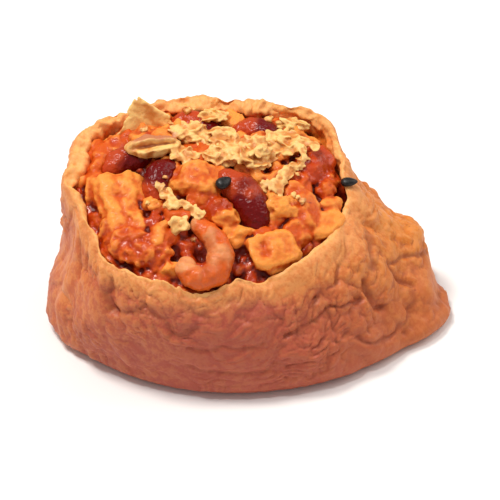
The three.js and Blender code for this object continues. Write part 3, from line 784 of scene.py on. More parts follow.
def joined(parts):
    """Points, faces and named values of several meshes as one."""
    points, faces, spots, count = [], [], {}, 0
    for part_points, part_faces, part_spots in parts:
        points.append(part_points)
        faces.append(np.asarray(part_faces) + count)
        count += len(part_points)
        for label, values in part_spots.items():
            spots.setdefault(label, []).append(np.broadcast_to(values, len(part_points)))
    spots = {label: np.concatenate(values) for label, values in spots.items()}
    return np.vstack(points), np.vstack(faces), spots


def lump_points(unit, boxiness, bumps, seed):
    """A rounded lump: boxiness squares it up, and bumps makes it uneven, each seed in its own way."""
    square = np.sign(unit) * np.abs(unit) ** (1 - boxiness)
    shifted = LUMP_SCALE * unit + np.array([LUMP_STEP * seed, 0, 0])
    return square * (1 + bumps * noise(shifted))[:, None]


def sunk(points):
    """0 where a point is at the top of the heap, rising to 1 about three millimetres below it."""
    return smooth_step(-0.5, 3.0, heap_top(points[:, 0], points[:, 1]) - points[:, 2])


def chopped(unit, cuts, seed):
    """A ball of radius 1 with that many flat cuts on it."""
    draw = make_draw(seed * 7 + 3)
    for _ in range(cuts):
        way = np.array([draw() - 0.5, draw() - 0.5, draw() - 0.5])
        limit = CUT_LEAST + CUT_MORE * draw()
        beyond = np.maximum(unit @ way / np.linalg.norm(way), limit)
        unit = unit * (limit / beyond)[:, None]
    return unit


def lowered(piece):
    """The piece, moved down where it lies in a hollow."""
    x, y, turn, tip, roll, lift, size = piece
    return x, y, turn, tip, roll, lift - HOLLOW_SINK * float(hollow_depth(x, y)), size


def sauced_lump(piece, boxiness, seed, detail, cuts, relief):
    """A piece of food with flat cuts, lobes between soft folds, and pleats along it."""
    unit, faces = ball(detail)
    turn, half, place = seat(piece)
    local = lump_points(chopped(unit, cuts, seed), boxiness, BUMPS, seed) * half * (1 + CUT_SWELL * cuts)
    outward = unit / half
    outward /= np.linalg.norm(outward, axis=1, keepdims=True)
    widths, depth, pleat_depth = relief
    winding = warped(local, *LUMP_WINDING, seed)
    lobes, _ = crumple(winding, np.array(widths), seed + 0.5)
    pleats = np.abs(np.sin(math.pi * winding[:, 1] / PLEAT_WIDTH)) ** 0.6
    local = local + outward * (depth * (lobes - 0.6) + pleat_depth * (pleats - 0.8))[:, None]
    return local @ turn.T + place, faces


def edges_of(faces):
    """Both directions of every edge of a mesh, as pairs of points."""
    sides = [np.stack([faces[:, i], faces[:, i - 1]], axis=-1) for i in range(faces.shape[1])]
    pairs = np.concatenate(sides)
    return np.concatenate([pairs, pairs[:, ::-1]])


def evened(values, edges, passes):
    """Values at points, each moved half way to the mean of its neighbours in every pass."""
    starts, ends = edges.T
    count = len(values)
    shares = np.bincount(starts, minlength=count)
    for _ in range(passes):
        sums = [np.bincount(starts, column[ends], count) for column in values.T]
        values = (values + np.stack(sums, axis=-1) / shares[:, None]) / 2
    return values


def standing_out(points, normals, edges, passes):
    """How far each point stands out from the evened surface, in millimetres: below 0 in a crevice."""
    return np.sum((points - evened(points, edges, passes)) * normals, axis=1)


# ---- Materials ----


def linear(code):
    """The scene-linear colour of a hex code."""
    parts = [int(code[i : i + 2], 16) / 255 for i in (1, 3, 5)]
    return tuple(part / 12.92 if part <= 0.04045 else ((part + 0.055) / 1.055) ** 2.4 for part in parts)


class Value:
    """A socket of a finish, on which sums are written as plain expressions."""

    def __init__(self, finish, socket):
        self.finish = finish
        self.socket = socket

    def math(self, operation, *terms):
        """A Math node of that operation on the terms."""
        return self.finish.node("ShaderNodeMath", {"operation": operation}, dict(enumerate(terms)))

    def __add__(self, other):
        return self.math("ADD", self, other)

    def __radd__(self, other):
        return self.math("ADD", other, self)

    def __sub__(self, other):
        return self.math("SUBTRACT", self, other)

    def __rsub__(self, other):
        return self.math("SUBTRACT", other, self)

    def __mul__(self, other):
        return self.math("MULTIPLY", self, other)

    def __rmul__(self, other):
        return self.math("MULTIPLY", other, self)

    def between(self, low, high):
        """0 up to low, 1 from high, and smooth in between."""
        settings = {"interpolation_type": "SMOOTHSTEP"}
        sockets = {"Value": self, "From Min": low, "From Max": high}
        return self.finish.node("ShaderNodeMapRange", settings, sockets)


class Finish:
    """A material whose nodes end in one shader."""

    def __init__(self, name):
        self.material = bpy.data.materials.new(name)
        self.material.use_nodes = True
        self.tree = self.material.node_tree
        self.tree.nodes.clear()
        self.place = self.node("ShaderNodeTexCoord", output="Object")

    def node(self, kind, settings=None, sockets=None, output=0):
        """Any node: its settings go first, then the values or links of its sockets."""
        made = self.tree.nodes.new(kind)
        for label, setting in (settings or {}).items():
            setattr(made, label, setting)
        for label, value in (sockets or {}).items():
            if isinstance(value, Value):
                self.tree.links.new(value.socket, made.inputs[label])
            elif isinstance(value, (tuple, list)) and len(value) == 3:
                wide = made.inputs[label].type == "RGBA"
                made.inputs[label].default_value = (*value, 1) if wide else value
            else:
                made.inputs[label].default_value = value
        return Value(self, made.outputs[output])

    def mix(self, share, first, second):
        """One colour turning into another as the share goes from 0 to 1."""
        sockets = {0: share, 6: tuple_of(first), 7: tuple_of(second)}
        return self.node("ShaderNodeMix", {"data_type": "RGBA"}, sockets, output=2)

    def spot(self, label):
        """The mesh's own value of that name."""
        return self.node("ShaderNodeAttribute", {"attribute_name": label}, output="Fac")

    def mottle(self, width, detail=2.0):
        """Soft noise from 0 to 1, with patches of that width in millimetres."""
        sockets = {"Vector": self.place, "Scale": 1 / (width * MM), "Detail": detail}
        return self.node("ShaderNodeTexNoise", None, sockets)

    def cells(self, width):
        """The distance to the middle of cells of that width in millimetres."""
        return self.node("ShaderNodeTexVoronoi", None, {"Vector": self.place, "Scale": 1 / (width * MM)})

    def bump(self, height, depth, strength=1.0):
        """The direction of a surface that stands out by the height times the depth in millimetres."""
        sockets = {"Height": height, "Distance": depth * MM, "Strength": strength}
        return self.node("ShaderNodeBump", None, sockets)

    def end(self, sockets):
        """Joins the one shader, with these values and links, to the output."""
        shader = self.node("ShaderNodeBsdfPrincipled", None, sockets)
        output = self.tree.nodes.new("ShaderNodeOutputMaterial")
        self.tree.links.new(shader.socket, output.inputs["Surface"])
        return self.material


def tuple_of(colour):
    """A colour property as a plain tuple, and a link as it is."""
    return colour if isinstance(colour, Value) else tuple(colour)


def soft(weight, spread, depth):
    """The shader's values for light that goes into food to that depth in millimetres."""
    return {"Subsurface Weight": weight, "Subsurface Radius": spread, "Subsurface Scale": depth * MM}


def tofu_finish(looks):
    """Braised fried tofu: a softly mottled skin with painted shade in its creases and low in front, painted
    light near the rim, on the flanks and on its lobes, and a pale spongy cut.
    """
    finish = Finish("braised_tofu")
    crease_shade, swell = finish.spot("crease_shade"), finish.spot("swell")
    cut, inside = finish.spot("cut"), finish.spot("inside")
    broad = finish.mottle(9.0)
    fine = finish.mottle(1.5, 3.0)
    grain = finish.mottle(0.45)
    golden, amber = finish.spot("golden"), finish.spot("amber")
    # Partly the skin's own colour and partly painted light: more golden near the rim, on the flanks and on
    # raised lobes, and browner low in front as painted shade.
    golden_and_lit = golden + swell * 0.25 + broad * 0.2 + fine * 0.06 - 0.3
    sunny = finish.mix(amber, looks.golden, looks.amber)
    brown_in_shade = finish.mix(amber * 0.5, looks.shaded_brown, looks.amber)
    skin = finish.mix(golden_and_lit.between(0.0, 1.0), brown_in_shade, sunny)
    flecks = (fine * 0.7 + grain * 0.6 + swell * 0.3).between(0.72, 0.95) * (golden * 0.35 + 0.1)
    skin = finish.mix(flecks, skin, looks.fleck)
    # Painted shade: the crease colour in the creases and folds and where the skin lies low between its
    # lobes.
    lines = (crease_shade + (1 - swell) * 0.2 - grain * 0.25).between(0.1, 0.85) * 0.5
    skin = finish.mix(lines, skin, looks.crease_shade)
    # Painted shade in the pinholes, with the same crease colour.
    pores = 1 - finish.cells(1.2).between(0.06, 0.17)
    pitted = pores * finish.mottle(6.0).between(0.5, 0.65)
    skin = finish.mix(pitted * 0.5, skin, looks.crease_shade)
    sponge = finish.mix((grain * 0.6 + fine * 0.6).between(0.4, 0.7), looks.cut_shade, looks.cut)
    clean = finish.mottle(2.6) * 0.9 + fine * 0.5 - inside * 0.7
    stained = finish.mix(clean.between(0.05, 0.4), looks.stain, looks.cut)
    sponge = finish.mix(inside, sponge, stained)
    colour = finish.mix(cut, skin, sponge)
    sockets = {
        "Base Color": colour,
        "Roughness": 0.58 - swell * 0.12 + grain * 0.1,
        "Normal": finish.bump(fine * 0.5 + grain * 0.35 - pitted * 0.6, 0.2, 0.6),
        "Coat Weight": (1 - cut) * 0.12,
        "Coat Roughness": 0.35,
        **soft(0.15, (1.0, 0.45, 0.2), 1.2),
        "Specular IOR Level": 0.3,
    }
    return finish.end(sockets)


def sauced_finish(name, looks):
    """Food in sauce: bare and paler on its ridges, partly a painted highlight, redder and wetter in its
    folds and low on the heap, and darkened there with painted shade.
    """
    finish = Finish(name)
    ridge, low, cleft = finish.spot("ridge"), finish.spot("low"), finish.spot("cleft")
    tint, red = finish.spot("tint"), finish.spot("red")
    patches = finish.mottle(3.4)
    smears = finish.mottle(1.5, 3.0)
    fine = finish.mottle(0.6)
    # Paler on the ridges: partly bare of sauce and partly a painted highlight.
    pale = (tint * 1.2 + ridge * 1.2 + patches * 0.9 + smears * 0.4 - 1.8).between(0.0, 0.8)
    bare = finish.mix(pale, looks.chunk_low, looks.chunk_high)
    sauced = patches * 0.9 + smears * 0.9 + red * 0.9 + low * 0.8 - ridge * 0.9 - tint * 0.5 - 0.2
    sauced = sauced.between(0.0, 0.9)
    colour = finish.mix(sauced, bare, looks.sauce)
    # Painted shade in the clefts, low on the heap and between the ridges, in the colour of sauce that lies
    # deep.
    deep = (low * 1.5 + cleft * 1.1 + (0.5 - ridge) * 1.1 + smears * 0.4 - 0.58).between(0.0, 0.9)
    colour = finish.mix(deep, colour, looks.deep_sauce_and_shade)
    specks = 1 - finish.cells(1.3).between(0.06, 0.16)
    colour = finish.mix(specks * patches.between(0.5, 0.65) * 0.5, colour, looks.deep_sauce_and_shade)
    sockets = {
        "Base Color": colour,
        "Roughness": 0.5 - sauced * 0.2,
        "Normal": finish.bump(fine * 0.7 + smears * 0.5, 0.35, 0.7),
        "Coat Weight": sauced * (1 - deep) * 0.3 + 0.05,
        "Coat Roughness": 0.1,
        **soft(0.15, (1.0, 0.35, 0.1), 0.9),
        "Specular IOR Level": 0.22,
    }
    return finish.end(sockets)


def smooth_food_finish(name, looks, low_colour, high_colour):
    """Smooth pale food with a thin uneven glaze of sauce, and painted shade low on the heap and between its
    ridges.
    """
    finish = Finish(name)
    ridge, low, tint = finish.spot("ridge"), finish.spot("low"), finish.spot("tint")
    patches = finish.mottle(3.0, 1.0)
    fine = finish.mottle(0.9)
    colour = finish.mix((tint * 1.3 + patches - 0.55).between(0, 1), low_colour, high_colour)
    glaze = (patches * 1.6 + (1 - ridge) * 0.8 + low * 0.5 - tint * 0.6 - 0.42).between(0.0, 0.6) * 0.9
    colour = finish.mix(glaze, colour, looks.glaze)
    # Painted shade low on the heap and between the ridges, in the colour of sauce that lies deep.
    deep = (low * 1.1 + (0.6 - ridge) * 0.8 - 0.5).between(0.0, 0.9)
    colour = finish.mix(deep, colour, looks.deep_sauce_and_shade)
    sockets = {
        "Base Color": colour,
        "Roughness": 0.5 - glaze * 0.12,
        "Normal": finish.bump(fine * 0.7 + patches * 0.4, 0.4, 0.8),
        "Coat Weight": glaze * 0.15,
        "Coat Roughness": 0.12,
        **soft(0.2, (1.0, 0.45, 0.2), 0.9),
        "Specular IOR Level": 0.28,
    }
    return finish.end(sockets)


def bean_finish(looks):
    """A cooked kidney bean: glossy dark maroon skin, lighter red towards one end as painted light, under
    wet sauce.
    """
    finish = Finish("wet_bean_skin")
    broad = finish.mottle(3.2)
    fine = finish.mottle(0.8)
    # Painted light: lighter red towards one end of the bean, the upper end of the main bean.
    lit_end = (finish.spot("lit_end") * 0.8 + broad * 0.5 - 0.25).between(0.1, 0.9)
    colour = finish.mix(lit_end, looks.skin, looks.lit_end)
    colour = finish.mix(fine.between(0.6, 0.75) * 0.4, colour, looks.streak)
    sockets = {
        "Base Color": colour,
        "Roughness": 0.16 + fine * 0.1,
        "Normal": finish.bump(fine * 0.8 + broad * 0.5, 0.5, 0.8),
        "Specular IOR Level": 0.24,
    }
    return finish.end(sockets)


def crisp_finish(looks):
    """A fried crisp: pale yellow, browner along its hollows, partly toasted and partly painted shade, dry
    with a little oil on it.
    """
    finish = Finish("fried_crisp")
    ridge, tint = finish.spot("ridge"), finish.spot("tint")
    fine = finish.mottle(0.8, 3.0)
    broad = finish.mottle(3.0)
    # Browner in the hollows, partly a toasted colour and partly painted shade.
    colour = finish.mix((ridge * 1.1 + fine * 0.4 - 0.5).between(0, 0.7), looks.toasted_and_shaded, looks.pale)
    tan = (tint * 0.9 + broad * 0.8 - 0.75).between(0.1, 0.7)
    colour = finish.mix(tan * 0.95, colour, looks.tan)
    sockets = {
        "Base Color": colour,
        "Roughness": 0.55,
        "Normal": finish.bump(fine, 0.2, 0.8),
        "Coat Weight": fine * 0.25,
        "Coat Roughness": 0.3,
        **soft(0.15, (1.0, 0.7, 0.3), 0.8),
    }
    return finish.end(sockets)


def seed_finish(looks):
    """A black sesame seed, with a fine ribbed skin."""
    finish = Finish("black_sesame")
    fine = finish.mottle(0.35)
    colour = finish.mix(fine.between(0.4, 0.8), looks.black, looks.grey)
    sockets = {
        "Base Color": colour,
        "Roughness": 0.35 + fine * 0.2,
        "Normal": finish.bump(fine, 0.08, 0.6),
        "Coat Weight": 0.1,
        "Coat Roughness": 0.2,
        "Specular IOR Level": 0.3,
    }
    return finish.end(sockets)


def plain_finish(name, colour):
    """A matt surface for the stage, with a faint unevenness."""
    finish = Finish(name)
    fine = finish.mottle(40.0)
    sockets = {"Base Color": tuple_of(colour), "Roughness": 0.75 + fine * 0.1}
    return finish.end(sockets)


# ---- Properties ----


def length(name, millimetres, description):
    """A length property, which Blender holds in metres."""
    return FloatProperty(name=name, description=description, default=millimetres * MM, unit="LENGTH")


def slant(name, degrees, description):
    """An angle property, which Blender holds in radians."""
    return FloatProperty(name=name, description=description, default=degrees * DEGREE, subtype="ANGLE")


def hue(name, code, description):
    """A colour property with a hex code as its default."""
    return FloatVectorProperty(
        name=name, description=description, default=linear(code), subtype="COLOR", min=0, max=1
    )


class InariPouch(bpy.types.PropertyGroup):
    """The tofu pouch's fineness, folds and colours."""

    columns: IntProperty(name="Columns", description="Points round the pouch", default=560, min=60)
    side_rows: IntProperty(name="Side rows", description="Rings up the side", default=108, min=12)
    lobe_depth: length("Lobe depth", 0.58, "How far the lobes of the crumpled skin stand out")
    line_depth: length("Line depth", 0.23, "Depth of the fine lines all over the skin")
    wrinkle_depth: length("Wrinkle depth", 0.38, "Depth of the wrinkles between the lobes")
    tear_height: length("Tear height", 0.4, "How ragged the cut edge of the rim is")
    # The golden skin near the rim and on the flanks is partly painted light, and the brown skin low in
    # front is partly painted shade.
    golden: hue("Golden skin", "#CE6E38", "Colour of the skin near the rim and on the flanks")
    amber: hue("Amber skin", "#D0741C", "Colour of the golden skin on the right")
    shaded_brown: hue("Brown skin", "#AA4C38", "Colour of the skin low in front")
    # Painted shade: the colour that darkens the skin in its creases, its folds and its pinholes.
    crease_shade: hue("Crease", "#8A3A22", "Colour of creases and pinholes")
    fleck: hue("Fleck", "#E69C56", "Colour of the fine light flecks")
    cut: hue("Cut edge", "#F2AE68", "Colour of the spongy cut edge")
    cut_shade: hue("Cut edge shade", "#E89A4E", "Colour of the pores of the cut edge")
    stain: hue("Stain", "#F07C26", "Colour of the sauce on the inner face")


class InariFilling(bpy.types.PropertyGroup):
    """The sauced filling's sizes and colours."""

    bit_count: IntProperty(name="Bits", description="Loose small bits in the sauce", default=90, min=0)
    filler_tries: IntProperty(
        name="Filler tries", description="Places tried for small pieces in gaps", default=420, min=0
    )
    voxel: length("Fineness", 0.26, "Edge length of the sauced pieces' surface")
    sauce_passes: IntProperty(
        name="Sauce passes", description="How much the sauce rounds the creases", default=2, min=0
    )
    grain_depth: length("Grain depth", 0.27, "How far the grain of the pieces stands out")
    sauce: hue("Sauce", "#B63808", "Colour of the sauce in a thin layer")
    # Also the colour of the painted shade in clefts and low on the heap.
    deep_sauce_and_shade: hue("Deep sauce", "#621203", "Colour of the sauce where it lies deep")
    glaze: hue("Glaze", "#D65A10", "Colour of the glaze on smooth pieces")
    chunk_low: hue("Chunk", "#CC520E", "Colour of the darker chunks")
    chunk_high: hue("Light chunk", "#F0943E", "Colour of the lighter chunks")
    curl_low: hue("Curl", "#BE501C", "Colour of the darker curls")
    curl_high: hue("Light curl", "#DE9058", "Colour of the lighter curls")


class InariBeans(bpy.types.PropertyGroup):
    """The red beans' colours."""

    skin: hue("Skin", "#6A0706", "Colour of the bean's skin")
    # Painted light: the colour of the lighter end of each bean.
    lit_end: hue("Rubbed skin", "#BA4018", "Colour where the skin is thin")
    streak: hue("Streak", "#3C0504", "Colour of the dark streaks")


class InariToppings(bpy.types.PropertyGroup):
    """The crisps' and seeds' sizes and colours."""

    voxel: length("Crisp fineness", 0.18, "Edge length of the crisps' surface")
    crumb_count: IntProperty(name="Crumbs", description="Loose crumbs of crisp", default=40, min=0)
    pale: hue("Pale crisp", "#F2C274", "Colour of the crisps where they stand out")
    # Partly a toasted colour and partly painted shade in the hollows.
    toasted_and_shaded: hue("Toasted crisp", "#CC7A2C", "Colour of the crisps' hollows")
    tan: hue("Tan crisp", "#BC6C46", "Colour of the browner crisps")
    black: hue("Seed", "#0E0B0A", "Colour of the sesame seeds")
    grey: hue("Seed ribs", "#332A26", "Colour of the seeds' raised skin")


class InariStage(bpy.types.PropertyGroup):
    """The camera, the floor and the lights."""

    distance: length("Camera distance", 682.6, "From the camera to the point that it aims at")
    elevation: slant("Camera elevation", 38.56, "Above the horizon")
    roll: slant("Camera roll", -2.85, "About its own line of sight")
    aim_height: length("Aim height", 12.6, "Height of the point that the camera aims at")
    lens: FloatProperty(name="Lens", description="Focal length", default=279.5, unit="CAMERA")
    floor: hue("Floor", "#F4F2F0", "Colour of the floor")
    key_power: FloatProperty(name="Key light", description="Power of the main light", default=3.2)
    fill_power: FloatProperty(name="Fill light", description="Power of the side light", default=1.6)
    glint_power: FloatProperty(name="Glint light", description="Power of the small light", default=0.9)
    sky: FloatProperty(name="Sky", description="Strength of the light from all round", default=0.43)


# ---- Pieces ----


def finish_piece(piece, material, nodes):
    """Gives a piece its material, and tells the frame which solids it stands for."""
    piece.data.materials.append(material)
    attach(piece, BODY)
    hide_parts(*nodes)


def rim_arc(angle):
    """Places on a level circle, for noise that runs along the rim."""
    return np.stack([RIM_RADIUS * np.cos(angle), RIM_RADIUS * np.sin(angle), 0 * angle], axis=-1)


def rim_tears(angle, height):
    """How the cut edge rises and falls in small peaks, which are higher in some places."""
    arc = rim_arc(angle)
    torn = np.minimum(near_all(angle, RAGGED_RIM, RAGGED_LEAST), RAGGED_MOST)
    return height * torn * (0.8 * noise(arc, 2.0, 3) + 0.7 * noise(arc, 0.8, 4))


def rim_wall(angle):
    """The thickness of the wall at the rim: thin in front, and thick where its inside is torn open."""
    arc = rim_arc(angle)
    uneven = 1 + 0.35 * noise(arc, 3.0, 5) + 0.2 * noise(arc, 1.2, 6)
    return near_all(angle, THICKER_RIM, RIM_WALL) + near_all(angle, TORN_WALL) * uneven


def rim_slope(angle):
    """How far the torn rim falls from its outer edge to its inner one."""
    return near_all(angle, TORN_FALL)


def pouch_grid(looks):
    """Rings of points over the whole pouch, with each ring's share of cut edge and inner face."""
    angle = np.arange(looks.columns) / looks.columns * TURN
    top = rim_height(angle) + rim_tears(angle, looks.tear_height / MM)
    wall = level_wall(angle, top, WALL)
    wall_at_rim = wall * rim_wall(angle) / WALL
    rings, cut, inside = [], [], []

    def add(ring, cut_share, inside_share):
        rings.append(ring)
        cut.append(np.broadcast_to(cut_share, angle.shape))
        inside.append(np.broadcast_to(inside_share, angle.shape))

    foot = side_point(angle, 0)
    for share in BASE_RINGS:
        add(foot * (share, share, 1), 0, 0)
    for turn in np.linspace(*FOOT_TURNS):
        add(side_point(angle, FOOT_ROUND * (1 - math.cos(turn * DEGREE))), 0, 0)
    for share in np.linspace(0, 1, looks.side_rows):
        z = FOOT_ROUND + (top - LIP_DROP - FOOT_ROUND) * share
        bare = 0.3 * smooth_step(0.8, 0.95, share) + 0.3 * smooth_step(0.985, 1, share)
        add(side_point(angle, z, LIP_ROUND * smooth_step(0.96, 1, share)), bare, 0)
    for turn in np.linspace(*LIP_TURNS):
        across = (1 - math.cos(turn * DEGREE)) / 2
        z = top - LIP_DROP + LIP_DROP * math.sin(turn * DEGREE) ** 0.8 - rim_slope(angle) * across
        inset = LIP_ROUND + (wall_at_rim - 2 * LIP_ROUND) * across
        cut_share = 0.6 + 0.4 * smooth_step(0, 0.3, across)
        add(side_point(angle, z, inset), cut_share, 0.6 * smooth_step(0.5, 1, across))
    low = FLOOR + FOOT_ROUND
    brim = top - LIP_DROP - rim_slope(angle)
    for share in np.concatenate([np.linspace(*SHOWN_RINGS), np.linspace(*HIDDEN_RINGS)]):
        z = brim - (brim - low) * share
        extra = (wall_at_rim - wall - LIP_ROUND) * (1 - smooth_step(0, 0.3, share))
        ring = inner_point(angle, z, WALL)
        ring[:, 0] -= extra * np.cos(angle)
        ring[:, 1] -= extra * np.sin(angle)
        add(ring, 1, 0.6 + 0.4 * smooth_step(0, 0.14, share))
    floor = inner_point(angle, 0 * angle + low, WALL)
    floor_ring = floor * (FLOOR_RING_SHARE, FLOOR_RING_SHARE, 1)
    floor_ring[:, 2] = FLOOR
    add(floor_ring, 1, 1)
    return angle, np.stack(rings), np.stack(cut), np.stack(inside)


def crumple(points, width, seed):
    """Rounded lobes up to about 1 with narrow valleys at 0 between them, and 1 in a valley's middle."""
    field = noise(points, width, seed)
    return (1.6 * np.abs(field)) ** 0.85, bell(field, 0.09)


def fold_distance(across, up, line):
    """How far each place of the unrolled skin is from a line, in millimetres."""
    corners = [(angle * DEGREE * UNROLLED_RADIUS, height) for angle, height in line]
    nearest = np.full(np.broadcast(across, up).shape, np.inf)
    for (start, low), (end, high) in zip(corners, corners[1:]):
        run, rise = end - start, high - low
        share = ((across - start) * run + (up - low) * rise) / (run**2 + rise**2)
        share = np.clip(share, 0, 1)
        nearest = np.minimum(nearest, np.hypot(across - start - share * run, up - low - share * rise))
    return nearest


def fold_winding(points, seed):
    """How far noise moves the folds at these places, in millimetres."""
    reach, width = FOLD_WINDING
    return reach * noise(points, width, seed)


def unrolled(angle, points, seed):
    """How far round the skin each place lies for its folds, in millimetres."""
    turn = (angle + math.pi) % TURN - math.pi
    return turn * UNROLLED_RADIUS + fold_winding(points, seed)


def fold_relief(angle, points):
    """How far the main folds stand out, in millimetres, and how much painted shade they get, from 0 to 1.
    """
    across = unrolled(angle, points, 31)
    up = points[..., 2] + fold_winding(points, 32)
    relief, dark = 0, 0
    for depth, width, line in FOLDS:
        shape = bell(fold_distance(across, up, line), width)
        relief = relief - depth * shape
        # Painted shade along the fold, darker for a deeper fold.
        dark = np.maximum(dark, shape * min(1, max(0, depth * FOLD_SHADE)))
    return relief, dark


def skin_detail(looks, angle, points, bare):
    """The fine relief of the skin in millimetres, with the painted shade of its creases and its swells,
    from 0 to 1.
    """
    z = points[..., 2]
    front, _, crumpled = skin_sides(angle, z)
    upright = near(angle, *UPRIGHT_LINES)
    level_stretch = 1 + 0.5 * upright
    stretch = np.stack([level_stretch, level_stretch, 1 + 1.3 * front - 0.75 * upright], axis=-1)
    flow = warped(warped(points, 5.0, 1.5, 11), 1.6, 0.35, 12) * stretch
    broad, broad_valley = crumple(flow, LOBE_WIDTH, 5)
    middling, middling_valley = crumple(flow, WRINKLE_WIDTH, 6)
    small, small_valley = crumple(flow, LINE_WIDTH, 7)
    patches = smooth_step(-0.25, 0.35, noise(points, PATCH_WIDTH, 8))
    grain = rough(points, GRAIN_WIDTH, 10)
    folds, dark = fold_relief(angle, points)
    quiet = smooth_step(PLAIN_FOOT, DETAILED_FROM, z) * (1 - bare)
    relief = looks.lobe_depth * (0.35 + 0.65 * crumpled) * (broad - 0.5)
    relief = relief + looks.wrinkle_depth * (0.35 + 0.65 * patches) * (middling - 0.5)
    relief = relief + looks.line_depth * (0.4 + 0.6 * patches) * (small - 0.5)
    relief = (relief / MM + folds) * quiet + GRAIN_DEPTH * grain * smooth_step(0.0, 0.5, z)
    # Where the finish paints shade into the skin: in the valleys between its lobes and wrinkles and along
    # its folds.
    crease_shade = 0.45 * broad_valley * crumpled + 0.5 * middling_valley * patches + 0.25 * small_valley
    crease_shade = np.maximum(crease_shade, dark)
    swell = 0.15 + 0.3 * broad + 0.3 * middling + 0.2 * small + 0.12 * grain
    return relief, np.clip(crease_shade, 0, 1) * quiet, np.clip(swell, 0, 1)


def golden_share(angle, points, below_rim):
    """How golden the skin is, from 0 where it is brown to 1: partly its own colour, and partly painted
    light at the top and on the flanks against painted shade low in front.
    """
    at_rim, fading = GOLDEN_RIM
    share = at_rim * bell(below_rim, fading)
    for middle, spread, height, tall, most in GOLDEN_PLACES:
        share = share + most * near(angle, middle, spread) * bell(points[..., 2] - height, tall)
    return np.clip(share + 0.12 * noise(points, 6.0, 15), 0, 1)


def inner_folds(angle, points):
    """How far the folds of the torn inner side stand out, in millimetres."""
    below = rim_height(angle) - points[..., 2]
    across = unrolled(angle, points, 33)
    relief = 0
    for depth, width, line in INNER_FOLDS:
        relief = relief + depth * bell(fold_distance(across, below, line), width)
    return relief


def build_tofu_skin(looks):
    """The pouch: outside, cut edge and inner face as one closed surface."""
    angle, rings, cut, inside = pouch_grid(looks)
    opened = np.maximum(cut, inside)
    relief, crease_shade, swell = skin_detail(looks, angle, rings, opened)
    torn = near_all(angle, SPONGE_PLACES, SPONGE_LEAST)
    sponge = torn * (rough(rings, 1.5, 21) + 1.1 * noise(rings, 3.6, 24)) * opened
    row = np.arange(len(rings))[:, None]
    relief = np.where(row <= len(BASE_RINGS), 0, relief + sponge + inner_folds(angle, rings) * inside)
    points = rings + ring_normals(rings) * relief[..., None]
    points[..., 2] = np.maximum(points[..., 2], 0)
    points[-1, :, 2] = FLOOR
    below_rim = rim_height(angle) - points[..., 2]
    values = {
        "crease_shade": crease_shade,
        "swell": swell,
        "cut": cut,
        "inside": inside,
        "golden": golden_share(angle, points, below_rim),
        "amber": near(angle, *AMBER_SIDE) * (1 - 0.8 * bell(below_rim, AMBER_BELOW_RIM)),
    }
    points, spots = closed_with(points, values)
    piece = make_piece("tofu_skin", points, ring_faces(len(rings), looks.columns), spots)
    finish_piece(piece, tofu_finish(looks), ["tofu_pouch"])


def build_sauce_bed(looks):
    """The sauce that fills the pouch below the pieces."""
    angle = np.arange(BED_COLUMNS) / BED_COLUMNS * TURN
    edge = side_point(angle, 0, WALL + CORE_GAP)
    rings = [edge * (FLOOR_RING_SHARE, FLOOR_RING_SHARE, 0) + (0, 0, FLOOR + CORE_GAP)]
    top = bed_rings(BED_COLUMNS, BED_RINGS, BED_BELOW_SLAB)
    brim = top[0][:, 2]
    start = FLOOR + FOOT_ROUND
    for share in np.linspace(0, 1, BED_SIDE_RINGS):
        rings.append(inner_point(angle, start + (brim - start) * share, WALL + CORE_GAP))
    rings = np.stack(rings + top)
    points = closed_points(rings)
    spots = {label: np.full(len(points), value) for label, value in BED_SPOTS.items()}
    piece = make_piece("sauce_bed", points, ring_faces(len(rings), BED_COLUMNS), spots)
    finish_piece(piece, sauced_finish("thick_sauce", looks), ["filling"])


def heap_place(angle, share, inset):
    """The x and y at a share of the way from the heap's middle to the wall, less an inset."""
    radius = (mouth_radius(angle) - WALL - inset) * share
    return MOUTH_MIDDLE[0] + radius * math.cos(angle), MOUTH_MIDDLE[1] + radius * math.sin(angle)


def gap_fillers(tree, tries):
    """Small pieces that lie where the heap is lower than it should be."""
    draw = make_draw(FILLER_DRAW)
    taken = [(x, y, size[0] / 2 + CURL_CLEARANCE) for x, y, *_, size in CURLS]
    found = []
    for _ in range(tries):
        angle, reach = TURN * draw(), math.sqrt(draw())
        width, stretch = drawn(draw, *FILLER_WIDTH), drawn(draw, *FILLER_STRETCH)
        turn, tip = 360 * draw(), FILLER_TIP * (2 * draw() - 1)
        x, y = heap_place(angle, reach, width / 3)
        spot, _ = landing(tree, x, y)
        if spot is None or spot.z > heap_top(x, y) - FILLER_GAP or hollow_depth(x, y) > HOLLOW_KEPT:
            continue
        if any(math.hypot(old_x - x, old_y - y) < apart for old_x, old_y, apart in taken):
            continue
        taken.append((x, y, FILLER_APART))
        lift = spot.z - heap_top(x, y) + 0.2 * width
        found.append((x, y, turn, tip, 0, lift, (width * stretch, width, width * FILLER_FLATNESS)))
    return found


def bed_rings(columns, shares, lower=0.0):
    """Rings over the top of the sauce, or over a smooth copy of it that lies lower."""
    angle = np.arange(columns) / columns * TURN
    wall = np.minimum(rim_wall(angle), WALL) - SAUCE_IN_WALL
    rings = []
    for share in np.linspace(*shares):
        radius = (mouth_radius(angle) - wall) * share
        x = MOUTH_MIDDLE[0] + radius * np.cos(angle)
        y = MOUTH_MIDDLE[1] + radius * np.sin(angle)
        flat = np.stack([x, y, 0 * x], axis=-1)
        hollow = hollow_depth(x, y)
        bumps = CORE_BUMPS[0] * noise(flat, CORE_BUMPS[1])
        bumps = bumps + SAUCE_BUMPS[0] * rough(flat, SAUCE_BUMPS[1], 31) / (1 + 2 * hollow)
        depth = BED_DEPTH + (BED_EDGE_DEPTH - BED_DEPTH) * smooth_step(0.85, 1, share)
        top = heap_top(x, y) - depth - hollow
        rings.append(np.stack([x, y, top - lower + bumps * (lower == 0)], axis=-1))
    return rings


